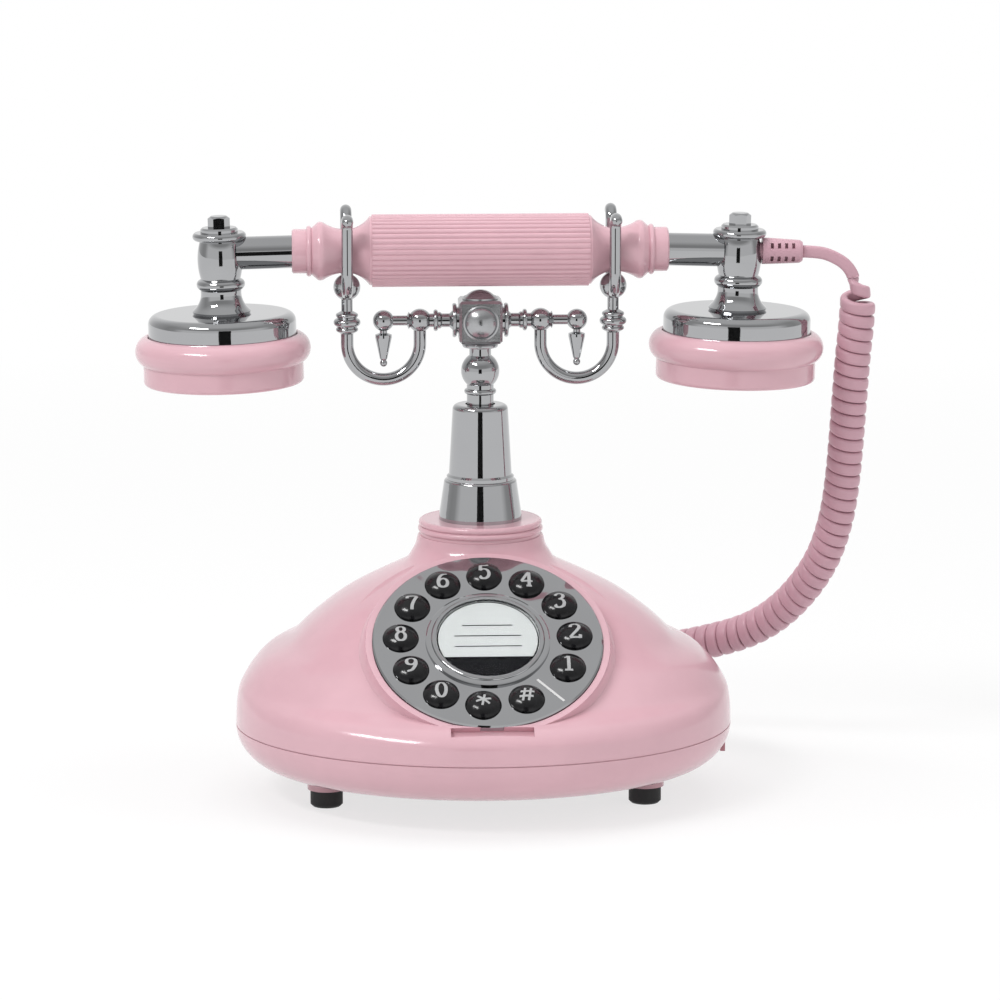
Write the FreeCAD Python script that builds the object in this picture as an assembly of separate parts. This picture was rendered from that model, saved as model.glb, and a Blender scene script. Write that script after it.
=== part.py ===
import FreeCAD, Part
import math
import os

# Pedestal cradle telephone with push keys in a dial ring.
# Frame: X to the right, Y to the back, Z up, in millimetres.
# The origin is on the table under the middle of the oval base.

# Driving dimensions of the base
BASE_HALF_WIDTH = 86.0
BASE_HALF_DEPTH = 72.0
WALL = 2.4
FOOT_HEIGHT = 6.0
FOOT_R = 5.6
FOOT_BOSS_HEIGHT = 4.3
FOOT_BOSS_RIM = 1.0
FOOT_EDGE = 0.8
PAN_HEIGHT = 15.2
PAN_EDGE = 18.0
SHELL_RISE = 61.5
COLLAR_HEIGHT = 5.4
COLLAR_R = 21.6
COLLAR_SWELL = 0.3
COLLAR_GROOVE = 0.6
COLLAR_TOP_INSET = 1.6
FRONT_DRAFT = 0.1
NECK_DRAFT = 0.2
TONGUE_HEIGHT = 2.0
TONGUE_WALL = 1.4
SEAM_GROOVE = 0.4
FRONT_FOOT_INSET = 31.0
FRONT_FOOT_Y = -18.0
REAR_FOOT_INSET = 36.0
REAR_FOOT_Y = 26.0
FRONT_SCREW = (40.0, -42.0)
REAR_SCREW = (26.0, 51.5)
SCREW_R = 1.5
SCREW_HEAD_R = 2.9
SCREW_HEAD_HEIGHT = 2.2
SCREW_SLOT = 0.8
SCREW_GRIP = 9.0
SCREW_POST_R = 4.2

# Driving dimensions of the dial and its keys
DIAL_CENTRE_Y = -32.9
DIAL_CENTRE_Z = 60.7
DIAL_TILT = 35.5
DIAL_R = 39.3
PLATE_THICK = 2.0
PLATE_PROUD = 1.0
PLATE_EDGE = 0.5
RIM_WIDTH = 2.2
RIM_FLARE = 9.0
SEAT_LEDGE = 3.1
SEAT_PROUD = 2.5
NOTCH_WIDTH = 28.0
NOTCH_DEPTH = 1.5
KEY_COUNT = 12
KEY_R = 6.0
KEY_MARGIN = 9.6
KEY_PITCH = 29.09
KEY_GAP_ANGLE = -46.0
KEY_GAP_HALF = 20.0
KEY_EDGE = 0.7
KEY_DOME = 2.5
KEY_FLANGE = 0.4
KEY_FLANGE_THICK = 1.0
KEY_TRAVEL = 1.5
BEZEL_GAP = 2.5
BEZEL_HEIGHT = 1.6
BEZEL_EDGE = 0.4
BEZEL_ROLL = 1.0
BEZEL_WIDTH = 3.6
CARD_THICK = 0.5
LENS_THICK = 1.0
MEMBRANE_THICK = 1.2
CUP_OUTER_R = 4.2
CUP_INNER_R = 3.0
CUP_HEIGHT = 1.2
KEYPAD_THICK = 1.6
DIAL_POST_R = 2.4
DIAL_POST_RING_R = 12.0
DIAL_POST_COUNT = 3
DIAL_SCREW_R = 1.2
DIAL_SCREW_HEAD = 1.4

# Driving dimensions of the pillar and the hook switch in it
PILLAR_Y = 24.0
PILLAR_HEIGHT = 40.6
PILLAR_FOOT_R = 14.5
PILLAR_FOOT_BAND = 1.2
PILLAR_STEP_RISE = 13.4
PILLAR_STEP_R = 12.7
PILLAR_STEP_ROLL = 0.8
PILLAR_LIP = 0.75
PILLAR_LIP_HEIGHT = 1.1
PILLAR_LIP_SLANT = 0.7
PILLAR_CONE_R = 11.0
PILLAR_TOP_R = 9.7
PILLAR_TOP_EDGE = 1.8
PILLAR_BORE_R = 7.0
PILLAR_ROOF = 4.0
PILLAR_MOUTH_GAP = 0.5
SPIGOT_R = 9.5
SPIGOT_TAIL = 5.5
NUT_HEIGHT = 4.6
NUT_ACROSS = 26.0
BUSH_LENGTH = 12.0
NECK_R = 4.7
NECK_DEPTH = 21.0
ROD_R = 3.0
SPRING_SEAT_HEIGHT = 4.0
SPRING_WIRE_R = 0.5
SPRING_TURNS = 9
CLIP_R = 5.0
CLIP_THICK = 0.8
CLIP_GROOVE = 0.6
HOOK_TRAVEL = 4.0

# Driving dimensions of the cradle
STEM_RISE = 22.0
STEM_BALL_R = 6.7
STEM_BALL_RISE = 11.7
STEM_RING_RISE = 4.5
STEM_RING_PROUD = 0.9
STEM_RING_HALF = 1.0
STEM_WAIST_R = 3.8
STEM_DISC_R = 6.0
STEM_DISC_HEIGHT = 2.4
STEM_DISC_SWELL = 0.3
STEM_DISC_EDGE = 0.5
STEM_SPIGOT = 5.0
BLOCK_SIDE = 15.0
BLOCK_CHAMFER = 0.9
DOME_R = 5.4
DOME_RISE = 2.6
DOME_RING = 0.8
DOME_RING_RISE = 0.9
DOME_FOOT = 0.6
DOME_SINK = 1.0
ARM_ROD_R = 2.4
ARM_TENON = 3.75
ARM_FLANGE_R = 4.7
ARM_FLANGE_THICK = 0.8
ARM_DISC_R = 6.0
ARM_DISC_STEP = 0.4
ARM_DISC_THICK = 1.4
ARM_CONE_R = 3.4
ARM_CONE_LENGTH = 1.0
ARM_RING_R = 3.8
ARM_RING_STEP = 0.9
ARM_RING_HALF = 0.8
ARM_RING_SLANT = 0.6
ARM_RING_GAP = 1.4
ARM_BALL_R = 4.1
FINIAL_R = 3.7
FINIAL_NECK_R = 1.75
FINIAL_BEAD = 0.7
FINIAL_BEAD_HALF = 0.6
PENDANT_LENGTH = 12.5
PENDANT_R = 2.9
PENDANT_SINK = 0.4
PENDANT_STEM = 1.0
PENDANT_SHOULDER = 0.6
PENDANT_BAND = 1.0
PENDANT_TIP_R = 1.3
PENDANT_NECK_R = 0.9
PENDANT_NECK_GAP = 0.3
HOOK_INNER_X = 21.0
HOOK_ROD_R = 2.2
HOOK_DROP = 8.0
HOOK_RING_DROP = 0.5
HOOK_RING_R = 4.7
HOOK_RING_STEP = 1.2
HOOK_RING_HALF = 1.4
HOOK_RING_GAP = 0.4
HOOK_RING_SMALL_R = 3.9
HOOK_RING_SMALL_STEP = 0.4
HOOK_RING_SMALL_HALF = 0.7
HOOK_RING_SLANT = 0.8
FORK_RISE = 11.9
FORK_BALL_R = 4.7
FORK_ROD_R = 2.0
FORK_CROTCH_DROP = 1.8
FORK_HALF_GAP = 10.5
FORK_BEND_R = 7.5
FORK_PRONG = 23.2
FORK_CURL_R = 3.6
FORK_CURL_TURN = 120.0
HOOK_STEM_STEP = 0.2

# Driving dimensions of the handset
REST_CLEARANCE = 0.3
HANDLE_NECK_R = 7.6
HANDLE_NECK_HALF = 1.2
HANDLE_NECK_REACH = 8.7
GRIP_R = 12.6
GRIP_HALF = 37.6
GRIP_BORE_R = 8.2
FLUTE_COUNT = 40
FLUTE_DEPTH = 0.45
COLLAR_FLARE_STEP = 0.2
COLLAR_FLARE_BAND = 0.8
COLLAR_FLARE_SAG = 1.3
COLLAR_FLANK_SAG = 0.5
COLLAR_BULB_R = 10.2
COLLAR_BULB_STEP = 0.3
COLLAR_BULB_HALF = 1.1
COLLAR_BULB_REACH = 9.1
COLLAR_STEP_REACH = 4.9
COLLAR_SLEEVE = 5.0
COLLAR_END_R = 7.7
COLLAR_END_EDGE = 0.5
COLLAR_BEAD = 1.1
COLLAR_BEAD_HALF = 0.9
COLLAR_BEAD_STEP = 0.4
COLLAR_SPIGOT = 8.0
TUBE_R = 5.7
TUBE_DEPTH = 10.0
ARM_REACH = 24.9
ARM_CANT = 1.35
POST_SEAT_R = 6.5
POST_SEAT_HEIGHT = 1.7
POST_FLANGE_R = 9.3
POST_FLANGE_STEP = 0.8
POST_FLANGE_HALF = 1.3
POST_BELLY_R = 7.8
POST_BELLY_STEP = 0.9
POST_BELLY_DROP = 8.6
POST_BEAD_R = 8.4
POST_BEAD_STEP = 0.6
POST_BEAD_HALF = 1.4
POST_EDGE = 0.6
POST_WAIST_R = 7.1
POST_FLARE_R = 7.4
POST_FLARE_DROP = 16.0
POST_FOOT_R = 10.2
POST_FOOT_EDGE = 0.8
POST_DROP = 20.7
POST_RISE = 9.2
POST_STUD_R = 4.0
POST_STUD_LENGTH = 3.5
NUT_POST_ACROSS = 6.6
NUT_POST_HEIGHT = 4.0
NUT_POST_BEVEL = 1.4
NUT_POST_CROWN = 0.6
CUP_R = 25.7
CUP_SIDE = 10.0
CUP_SKIRT = 9.0
CUP_WALL = 1.8
CUP_EDGE_R = 3.2
CAP_R = 30.5
CAP_ROLL_R = 5.4
CAP_BAND_R = 27.8
CAP_EDGE_R = 1.4
CAP_LIP = 0.4
CAP_LEDGE = 1.0
CAP_FACE_DROP = 24.5
CAP_FACE_THICK = 2.2
CAP_DISH = 1.2
CAP_FACE_RIM = 3.6
CAP_FACE_SLANT = 1.4
CAP_FACE_STEP = 0.3
SOUND_HOLE_R = 1.3
RECEIVER_R = 17.0
RECEIVER_HEIGHT = 7.0
MICROPHONE_R = 6.0
MICROPHONE_HEIGHT = 5.0
BOOT_ROOT_R = 4.6
BOOT_TIP_R = 4.0
BOOT_LENGTH = 14.0
BOOT_SPIGOT_R = 3.0
BOOT_SPIGOT = 4.0
BOOT_SLOTS = 4
BOOT_ROOT_BAND = 1.5
BOOT_TIP_EDGE = 0.6
BOOT_TIP_BAND = 1.0
BOOT_SLOT_START = 2.6
BOOT_SLOT_END = 1.4
BOOT_SLOT_WIDTH = 1.1
BOOT_SLOT_RISE = 1.35
BOOT_CORE_R = 1.6
BOOT_SLOT_HEIGHT = 1.8

# Driving dimensions of the pieces inside the base
BALLAST_HALF_WIDTH = 35.0
BALLAST_FRONT_Y = -44.0
BALLAST_BACK_Y = 0.0
BALLAST_THICK = 4.0
BOARD_HALF_WIDTH = 37.0
BOARD_FRONT_Y = 4.0
BOARD_BACK_Y = 46.0
BOARD_THICK = 1.6
BOARD_RISE = 7.3
BOARD_POST_R = 3.0
BOARD_POST_INSET = 4.0
MICROSWITCH_SIZE = (12.8, 6.4, 11.0)
MICROSWITCH_BUTTON_R = 1.6
MICROSWITCH_BUTTON = 1.0
SPEAKER_INSET = 32.0
SPEAKER_Y = 12.0
SPEAKER_R = 13.5
SPEAKER_HEIGHT = 9.0
SPEAKER_RIM = 2.5
SPEAKER_BASKET = 5.5
SPEAKER_MAGNET_R = 8.4
GRILLE_HOLE_R = 1.2
GRILLE_PITCH = 5.0
JACK_X = 12.0
JACK_WIDTH = 12.0
JACK_DEPTH = 14.0
JACK_HEIGHT = 11.0
JACK_INSET = 6.0
SOCKET_WIDTH = 6.6
SOCKET_HEIGHT = 5.0
SOCKET_DEPTH = 10.0
PLUG_NECK = 8.0
PLUG_BODY = 11.0
PLUG_BODY_WIDTH = 8.0
PLUG_BODY_HEIGHT = 6.6
PLUG_EDGE_R = 1.2
SWITCH_Y = -4.0
SWITCH_RISE = 7.3
SWITCH_TRAVEL = 6.0
SWITCH_KNOB = 4.2
SWITCH_KNOB_PROUD = 0.2
SWITCH_GROOVE_WIDTH = 0.5
SWITCH_GROOVE_DEPTH = 0.5
SWITCH_POCKET_DEPTH = 1.5
SWITCH_POCKET_HALF_HEIGHT = 3.2
SWITCH_STEM = 2.0
SWITCH_FLANGE = 3.4
SWITCH_FLANGE_THICK = 1.2
SWITCH_BODY_WIDTH = 5.0
SWITCH_BODY_MARGIN = 2.0
SWITCH_BODY_ROOF = 1.0

# Named clearances
FIT = 0.05
SLIP = 0.2
LOOSE = 0.3

# Handset cord: the route's control points after the boot, chosen by eye, and the curls
CORD_R = 1.75
CURL_R = 4.6
CURL_PITCH = 4.55
CURL_COUNT = 46
CURL_START = 20.0
CURL_EASE = 12.0
CORD_LEAD = 5.0
CORD_ROUTE = [
    (122.5, 23.5, 184.4), (128.6, 23.5, 180.6), (131.7, 24.0, 173.0), (131.9, 25.5, 162.0),
    (130.8, 27.5, 149.0),
    (130.1, 29.8, 134.0), (129.5, 32.8, 118.5), (128.8, 36.3, 103.0), (127.3, 40.3, 88.0),
    (123.6, 46.0, 73.0),
    (117.2, 52.5, 60.0), (108.6, 59.5, 47.5), (98.5, 66.0, 37.5), (86.0, 73.0, 31.0), (73.0, 79.5, 27.0),
    (60.0, 85.0, 23.5), (46.0, 89.5, 20.5), (32.0, 93.5, 18.8), (19.0, 96.5, 18.2),
]

# Levels and places that follow from the sizes above
PAN_FLOOR_Z = FOOT_HEIGHT + FOOT_BOSS_HEIGHT
INSIDE_Z = PAN_FLOOR_Z + WALL
SEAM_Z = PAN_FLOOR_Z + PAN_HEIGHT
COLLAR_Z = SEAM_Z + SHELL_RISE
COLLAR_TOP_Z = COLLAR_Z + COLLAR_HEIGHT
COLLAR_UNDER_Z = COLLAR_Z - WALL
PILLAR_TOP_Z = COLLAR_TOP_Z + PILLAR_HEIGHT
ARM_Z = PILLAR_TOP_Z + STEM_RISE + BLOCK_SIDE / 2
FORK_BALL_Z = ARM_Z + FORK_RISE
FORK_REST_Z = FORK_BALL_Z + FORK_BALL_R
HANDSET_Z = FORK_REST_Z + REST_CLEARANCE + HANDLE_NECK_R
FORK_X = GRIP_HALF + HANDLE_NECK_REACH
COLLAR_BULB_X = FORK_X + COLLAR_BULB_REACH
COLLAR_STEP_X = COLLAR_BULB_X + COLLAR_STEP_REACH
COLLAR_END_X = COLLAR_STEP_X + COLLAR_SLEEVE
POST_X = COLLAR_END_X + ARM_REACH
BOARD_Z = INSIDE_Z + BOARD_RISE
SCREW_SEAT_Z = INSIDE_Z + SCREW_HEAD_HEIGHT / 2
RIM_R = DIAL_R + SLIP + RIM_WIDTH
KEY_RING_R = DIAL_R - KEY_MARGIN
BEZEL_R = KEY_RING_R - KEY_R - BEZEL_GAP
CARD_R = BEZEL_R - BEZEL_WIDTH
WELL_R = DIAL_R - SEAT_LEDGE
KEYPAD_R = WELL_R - LOOSE
PILLAR_AXIS = FreeCAD.Vector(0, PILLAR_Y, 0)
DIAL_PLACE = FreeCAD.Placement(
    FreeCAD.Vector(0, DIAL_CENTRE_Y, DIAL_CENTRE_Z),
    FreeCAD.Rotation(FreeCAD.Vector(1, 0, 0), DIAL_TILT))
X_AXIS = FreeCAD.Vector(1, 0, 0)
Y_AXIS = FreeCAD.Vector(0, 1, 0)
Z_AXIS = FreeCAD.Vector(0, 0, 1)
ORIGIN = FreeCAD.Vector(0, 0, 0)
OVAL_POINTS = 32


def vec(x, y, z):
    """Short name for a vector."""
    return FreeCAD.Vector(x, y, z)


def lathe(outline, centre=ORIGIN, axis=Z_AXIS):
    """Turn a closed outline about an axis through centre.

    A point is (radius, height). A point of four numbers ends an arc: (mid radius, mid height, radius,
                                                                       height).
    """
    edges = []
    start = vec(outline[0][0], 0, outline[0][1])
    last = start
    for point in outline[1:]:
        end = vec(point[-2], 0, point[-1])
        if len(point) == 4:
            edges.append(Part.Arc(last, vec(point[0], 0, point[1]), end).toShape())
        else:
            edges.append(Part.LineSegment(last, end).toShape())
        last = end
    if (last - start).Length > 1e-6:
        edges.append(Part.LineSegment(last, start).toShape())
    turned = Part.Face(Part.Wire(edges)).revolve(ORIGIN, Z_AXIS, 360)
    return placed(turned, FreeCAD.Placement(centre, FreeCAD.Rotation(Z_AXIS, axis)))


def placed(shape, placement):
    """Give a copy of a shape, moved by a placement."""
    moved = shape.copy()
    moved.Placement = placement.multiply(moved.Placement)
    return moved


def rod(radius, length, foot, axis=Z_AXIS):
    """Give a plain round bar from its foot along an axis."""
    return Part.makeCylinder(radius, length, foot, axis)


def box(x0, x1, y0, y1, z0, z1):
    """Give a box between two corners."""
    return Part.makeBox(x1 - x0, y1 - y0, z1 - z0, vec(x0, y0, z0))


def ball(radius, centre):
    """Give a full ball, with its poles to the left and right."""
    return lathe([(0, -radius), (radius, 0, 0, radius)], centre, X_AXIS)


def hex_prism(across, height, foot):
    """Give an upright hexagonal prism by its width across flats."""
    corner_r = across / math.sqrt(3)
    corners = [foot + vec(corner_r * math.cos(math.radians(60 * k)),
                          corner_r * math.sin(math.radians(60 * k)), 0)
               for k in range(7)]
    return Part.Face(Part.makePolygon(corners)).extrude(Z_AXIS * height)


def bent_rod(radius, edges):
    """Carry a round section along joined lines and arcs."""
    path = Part.Wire(edges)
    first = edges[0]
    foot = first.valueAt(first.FirstParameter)
    section = Part.Wire([Part.Circle(foot, first.tangentAt(first.FirstParameter), radius).toShape()])
    return path.makePipeShell([section], True, False)


def left_hand(shape):
    """Give the left-hand copy of a right-hand shape, by a half turn about the pillar."""
    turned = shape.copy()
    turned.rotate(PILLAR_AXIS, Z_AXIS, 180)
    return turned


def joined(first, others):
    """Join solids into one, one after another."""
    for other in others:
        first = first.fuse(other)
    return first.removeSplitter()


def less(shape, spaces):
    """Cut spaces out of a solid, one after another."""
    for space in spaces:
        shape = shape.cut(space)
    return shape


def smooth_curve(knots):
    """Give a function that runs without overshoot through (position, value) knots."""
    place = [knot[0] for knot in knots]
    value = [knot[1] for knot in knots]
    count = len(knots)
    width = [place[k + 1] - place[k] for k in range(count - 1)]
    rise = [(value[k + 1] - value[k]) / width[k] for k in range(count - 1)]
    slope = [rise[0]]
    for k in range(1, count - 1):
        same_way = rise[k - 1] * rise[k] > 0
        slope.append(2 * rise[k - 1] * rise[k] / (rise[k - 1] + rise[k]) if same_way else 0.0)
    slope.append(rise[-1])

    def at(position):
        k = 0
        while k < count - 2 and position > place[k + 1]:
            k += 1
        t = (position - place[k]) / width[k]
        bend = (value[k] * (1 + 2 * t) + slope[k] * width[k] * t) * (1 - t) ** 2
        return bend + (value[k + 1] * (3 - 2 * t) - slope[k + 1] * width[k] * (1 - t)) * t ** 2

    return at


def oval_wire(z, half_width, centre_y, front_y, back_y, power):
    """Give a level closed curve: an oval whose front and back halves differ in depth."""
    points = []
    for k in range(OVAL_POINTS):
        turn = 2 * math.pi * k / OVAL_POINTS
        across = math.copysign(abs(math.cos(turn)) ** (2 / power), math.cos(turn))
        along = math.copysign(abs(math.sin(turn)) ** (2 / power), math.sin(turn))
        depth = back_y - centre_y if along > 0 else centre_y - front_y
        points.append(vec(half_width * across, centre_y + depth * along, z))
    curve = Part.BSplineCurve()
    curve.interpolate(Points=points, PeriodicFlag=True)
    return Part.Wire([curve.toShape()])


# Shape of the bell: each share runs from 0 at the seam to 1 at the collar
SIDE_SHARE = smooth_curve([
    (0, 1), (0.10, 0.997), (0.195, 0.984), (0.265, 0.952), (0.332, 0.904), (0.398, 0.835), (0.462, 0.714),
    (0.554, 0.612), (0.616, 0.534), (0.678, 0.444), (0.738, 0.332), (0.797, 0.202), (0.857, 0.078),
    (0.919, 0.030), (1, 0)])
BACK_SHARE = smooth_curve([
    (0, 1), (0.10, 0.99), (0.25, 0.94), (0.40, 0.80), (0.58, 0.55), (0.72, 0.36), (0.82, 0.17), (0.90, 0.05),
    (1, 0)])
CENTRE_SHARE = smooth_curve([
    (0, 0), (0.20, 0.01), (0.40, 0.08), (0.60, 0.30), (0.75, 0.58), (0.87, 0.87), (0.95, 0.985), (1, 1)])
OVAL_POWER = smooth_curve([(0, 2.0), (0.20, 2.05), (0.40, 2.4), (0.75, 2.4), (0.90, 2.05), (1, 2.0)])
FRONT_WALL_SHARE = 0.45
FRONT_CORNER_SHARE = 5 / 6
SLOPE_LOW_SHARE = 1 / 8
SLOPE_HIGH_SHARE = 1 / 3
CORNER_LEAN_SHARE = 0.2
PAN_POWER = 2.0
BELL_STEPS = 26
PAN_STEPS = 8
BELL_LEVELS = [step / BELL_STEPS for step in range(BELL_STEPS + 1)]
PAN_LEVELS = [math.sin(math.pi / 2 * step / PAN_STEPS) for step in range(PAN_STEPS + 1)]


def seat_line_y(z):
    """Give Y of the slope that lies a little under the dial's seat, at a height."""
    tilt = math.radians(DIAL_TILT)
    return DIAL_CENTRE_Y + (z - DIAL_CENTRE_Z) / math.tan(tilt) + SEAT_PROUD / math.sin(tilt)


def front_curve():
    """Give Y of the bell's front by height: upright wall, slope under the dial, then the collar."""
    dial_reach = DIAL_R * math.sin(math.radians(DIAL_TILT))
    low = DIAL_CENTRE_Z - dial_reach
    high = DIAL_CENTRE_Z + dial_reach
    neck_y = PILLAR_Y - COLLAR_R
    wall_top = SEAM_Z + FRONT_WALL_SHARE * (low - SEAM_Z)
    corner_z = SEAM_Z + FRONT_CORNER_SHARE * (low - SEAM_Z)
    slope_low = low + SLOPE_LOW_SHARE * dial_reach
    slope_high = high - SLOPE_HIGH_SHARE * dial_reach
    corner_y = -BASE_HALF_DEPTH + CORNER_LEAN_SHARE * (seat_line_y(slope_low) + BASE_HALF_DEPTH)
    return smooth_curve([
        (SEAM_Z, -BASE_HALF_DEPTH), (wall_top, -BASE_HALF_DEPTH + FRONT_DRAFT), (corner_z, corner_y),
        (slope_low, seat_line_y(slope_low)), (DIAL_CENTRE_Z, seat_line_y(DIAL_CENTRE_Z)),
        (slope_high, seat_line_y(slope_high)), (COLLAR_UNDER_Z, neck_y - NECK_DRAFT), (COLLAR_Z, neck_y)])


FRONT_Y = front_curve()


def bell_wire(share, inset, drop):
    """Give the bell's outline at a share of its rise, drawn in by inset and let down by drop."""
    z = SEAM_Z + share * SHELL_RISE
    neck_back = PILLAR_Y + COLLAR_R
    half_width = COLLAR_R + (BASE_HALF_WIDTH - COLLAR_R) * SIDE_SHARE(share)
    back = neck_back + (BASE_HALF_DEPTH - neck_back) * BACK_SHARE(share)
    return oval_wire(z - drop, half_width - inset, PILLAR_Y * CENTRE_SHARE(share), FRONT_Y(z) + inset,
                     back - inset,
                     OVAL_POWER(share))


def edge_inset(share):
    """Give how far the pan's round lower edge is drawn in, by the share of its height under the seam."""
    return PAN_EDGE * (1 - math.sqrt(1 - min(1.0, share) ** 2))


def pan_wire(z, inset):
    """Give the pan's outline at a height, drawn in by inset."""
    draw = edge_inset((SEAM_Z - z) / PAN_HEIGHT) + inset
    return oval_wire(z, BASE_HALF_WIDTH - draw, 0, -BASE_HALF_DEPTH + draw, BASE_HALF_DEPTH - draw, PAN_POWER)


def seam_ring(outer_inset, inner_inset, z0, z1):
    """Give a level band along the seam between two insets from the outside."""
    outer = Part.Face(pan_wire(SEAM_Z, outer_inset))
    inner = Part.Face(pan_wire(SEAM_Z, inner_inset))
    band = outer.cut(inner).extrude(Z_AXIS * (z1 - z0))
    return placed(band, FreeCAD.Placement(vec(0, 0, z0 - SEAM_Z), FreeCAD.Rotation()))


def pan_inside_x(half, z):
    """Give the least X of the pan's inner wall at a height, over a half width each way from the switch."""
    draw = edge_inset((SEAM_Z - z) / PAN_HEIGHT) + WALL
    far_y = abs(SWITCH_Y) + half
    return (BASE_HALF_WIDTH - draw) * math.sqrt(1 - (far_y / (BASE_HALF_DEPTH - draw)) ** 2)


def seam_groove():
    """Give the space of the shallow groove round the outside, half in the pan and half in the bell."""
    return seam_ring(-SEAM_GROOVE, SEAM_GROOVE, SEAM_Z - SEAM_GROOVE / 2, SEAM_Z + SEAM_GROOVE / 2)


def both_sides(place):
    """Give a place and its mirror image across X = 0."""
    return [(place[0], place[1]), (-place[0], place[1])]


FEET = both_sides((BASE_HALF_WIDTH - FRONT_FOOT_INSET, FRONT_FOOT_Y))
FEET += both_sides((BASE_HALF_WIDTH - REAR_FOOT_INSET, REAR_FOOT_Y))
SCREWS = both_sides(FRONT_SCREW) + both_sides(REAR_SCREW)
SWITCH_Z = PAN_FLOOR_Z + SWITCH_RISE
SWITCH_WALL_X = BASE_HALF_WIDTH - edge_inset((SEAM_Z - SWITCH_Z) / PAN_HEIGHT)
SWITCH_POCKET_X = SWITCH_WALL_X - SWITCH_POCKET_DEPTH
SWITCH_SLOT_HALF = (SWITCH_TRAVEL + SWITCH_STEM) / 2 + LOOSE
SWITCH_POCKET_HALF = (SWITCH_TRAVEL + SWITCH_KNOB) / 2 + LOOSE
SWITCH_BODY_HALF = SWITCH_POCKET_HALF + SWITCH_BODY_MARGIN
SWITCH_FLANGE_X = pan_inside_x(SWITCH_POCKET_HALF, SWITCH_Z - SWITCH_FLANGE / 2) - LOOSE
SWITCH_BODY_X = pan_inside_x(SWITCH_BODY_HALF, INSIDE_Z) - LOOSE
JACK_FACE_Y = BASE_HALF_DEPTH - JACK_INSET
JACK_MID_Z = INSIDE_Z + JACK_HEIGHT / 2


def base_pan():
    """Lower moulding: a shallow oval dish with foot bosses, screw posts and board posts."""
    levels = [SEAM_Z - share * PAN_HEIGHT for share in PAN_LEVELS]
    pan = Part.makeLoft([pan_wire(z, 0) for z in levels], True, False)
    hollow_levels = [SEAM_Z - share * (PAN_HEIGHT - WALL) for share in PAN_LEVELS]
    pan = pan.cut(Part.makeLoft([pan_wire(z, WALL) for z in hollow_levels], True, False))
    added = [seam_ring(WALL / 2, WALL + SLIP + TONGUE_WALL, SEAM_Z - TONGUE_HEIGHT, SEAM_Z),
             seam_ring(WALL + SLIP, WALL + SLIP + TONGUE_WALL, SEAM_Z - TONGUE_HEIGHT / 2,
                       SEAM_Z + TONGUE_HEIGHT)]
    for x, y in FEET:
        added.append(rod(FOOT_R + FOOT_BOSS_RIM, FOOT_BOSS_HEIGHT + WALL / 2, vec(x, y, FOOT_HEIGHT)))
    for x, y in SCREWS:
        added.append(rod(SCREW_POST_R, PAN_HEIGHT - WALL / 2, vec(x, y, PAN_FLOOR_Z + WALL / 2)))
    post_xs = (-BOARD_HALF_WIDTH + BOARD_POST_INSET, BOARD_HALF_WIDTH - BOARD_POST_INSET)
    post_ys = (BOARD_FRONT_Y + BOARD_POST_INSET, BOARD_BACK_Y - BOARD_POST_INSET)
    for x in post_xs:
        for y in post_ys:
            added.append(rod(BOARD_POST_R, BOARD_RISE + WALL / 2, vec(x, y, INSIDE_Z - WALL / 2)))
    spaces = switch_pocket() + grille_holes() + [seam_groove()]
    for x, y in SCREWS:
        spaces.append(rod(SCREW_R + SLIP, PAN_HEIGHT + 2 * WALL, vec(x, y, PAN_FLOOR_Z - WALL)))
        spaces.append(rod(SCREW_HEAD_R + LOOSE, SCREW_SEAT_Z - PAN_FLOOR_Z + WALL,
                          vec(x, y, PAN_FLOOR_Z - WALL)))
    half = JACK_WIDTH / 2 + SLIP
    for x in (JACK_X, -JACK_X):
        spaces.append(box(x - half, x + half, JACK_FACE_Y - JACK_DEPTH, BASE_HALF_DEPTH + WALL,
                          INSIDE_Z, INSIDE_Z + JACK_HEIGHT + SLIP))
    return less(joined(pan, added), spaces)


def switch_pocket():
    """Space in the pan's right wall for the ringer slider: a sunk pocket and a slot through the wall."""
    pocket = box(SWITCH_POCKET_X, SWITCH_WALL_X + WALL, SWITCH_Y - SWITCH_POCKET_HALF,
                 SWITCH_Y + SWITCH_POCKET_HALF,
                 SWITCH_Z - SWITCH_POCKET_HALF_HEIGHT, SWITCH_Z + SWITCH_POCKET_HALF_HEIGHT)
    half = SWITCH_STEM / 2 + SLIP
    slot = box(SWITCH_BODY_X, SWITCH_WALL_X, SWITCH_Y - SWITCH_SLOT_HALF, SWITCH_Y + SWITCH_SLOT_HALF,
               SWITCH_Z - half, SWITCH_Z + half)
    return [pocket, slot]


def grille_holes():
    """Sound holes in the pan's floor under the ringer speaker: a middle hole and two rings."""
    holes = []
    for ring, count in ((0, 1), (1, 6), (2, 12)):
        for k in range(count):
            turn = 2 * math.pi * k / count
            x = SPEAKER_INSET - BASE_HALF_WIDTH + ring * GRILLE_PITCH * math.cos(turn)
            y = SPEAKER_Y + ring * GRILLE_PITCH * math.sin(turn)
            holes.append(rod(GRILLE_HOLE_R, 2 * WALL, vec(x, y, PAN_FLOOR_Z - WALL / 2)))
    return holes


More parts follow.
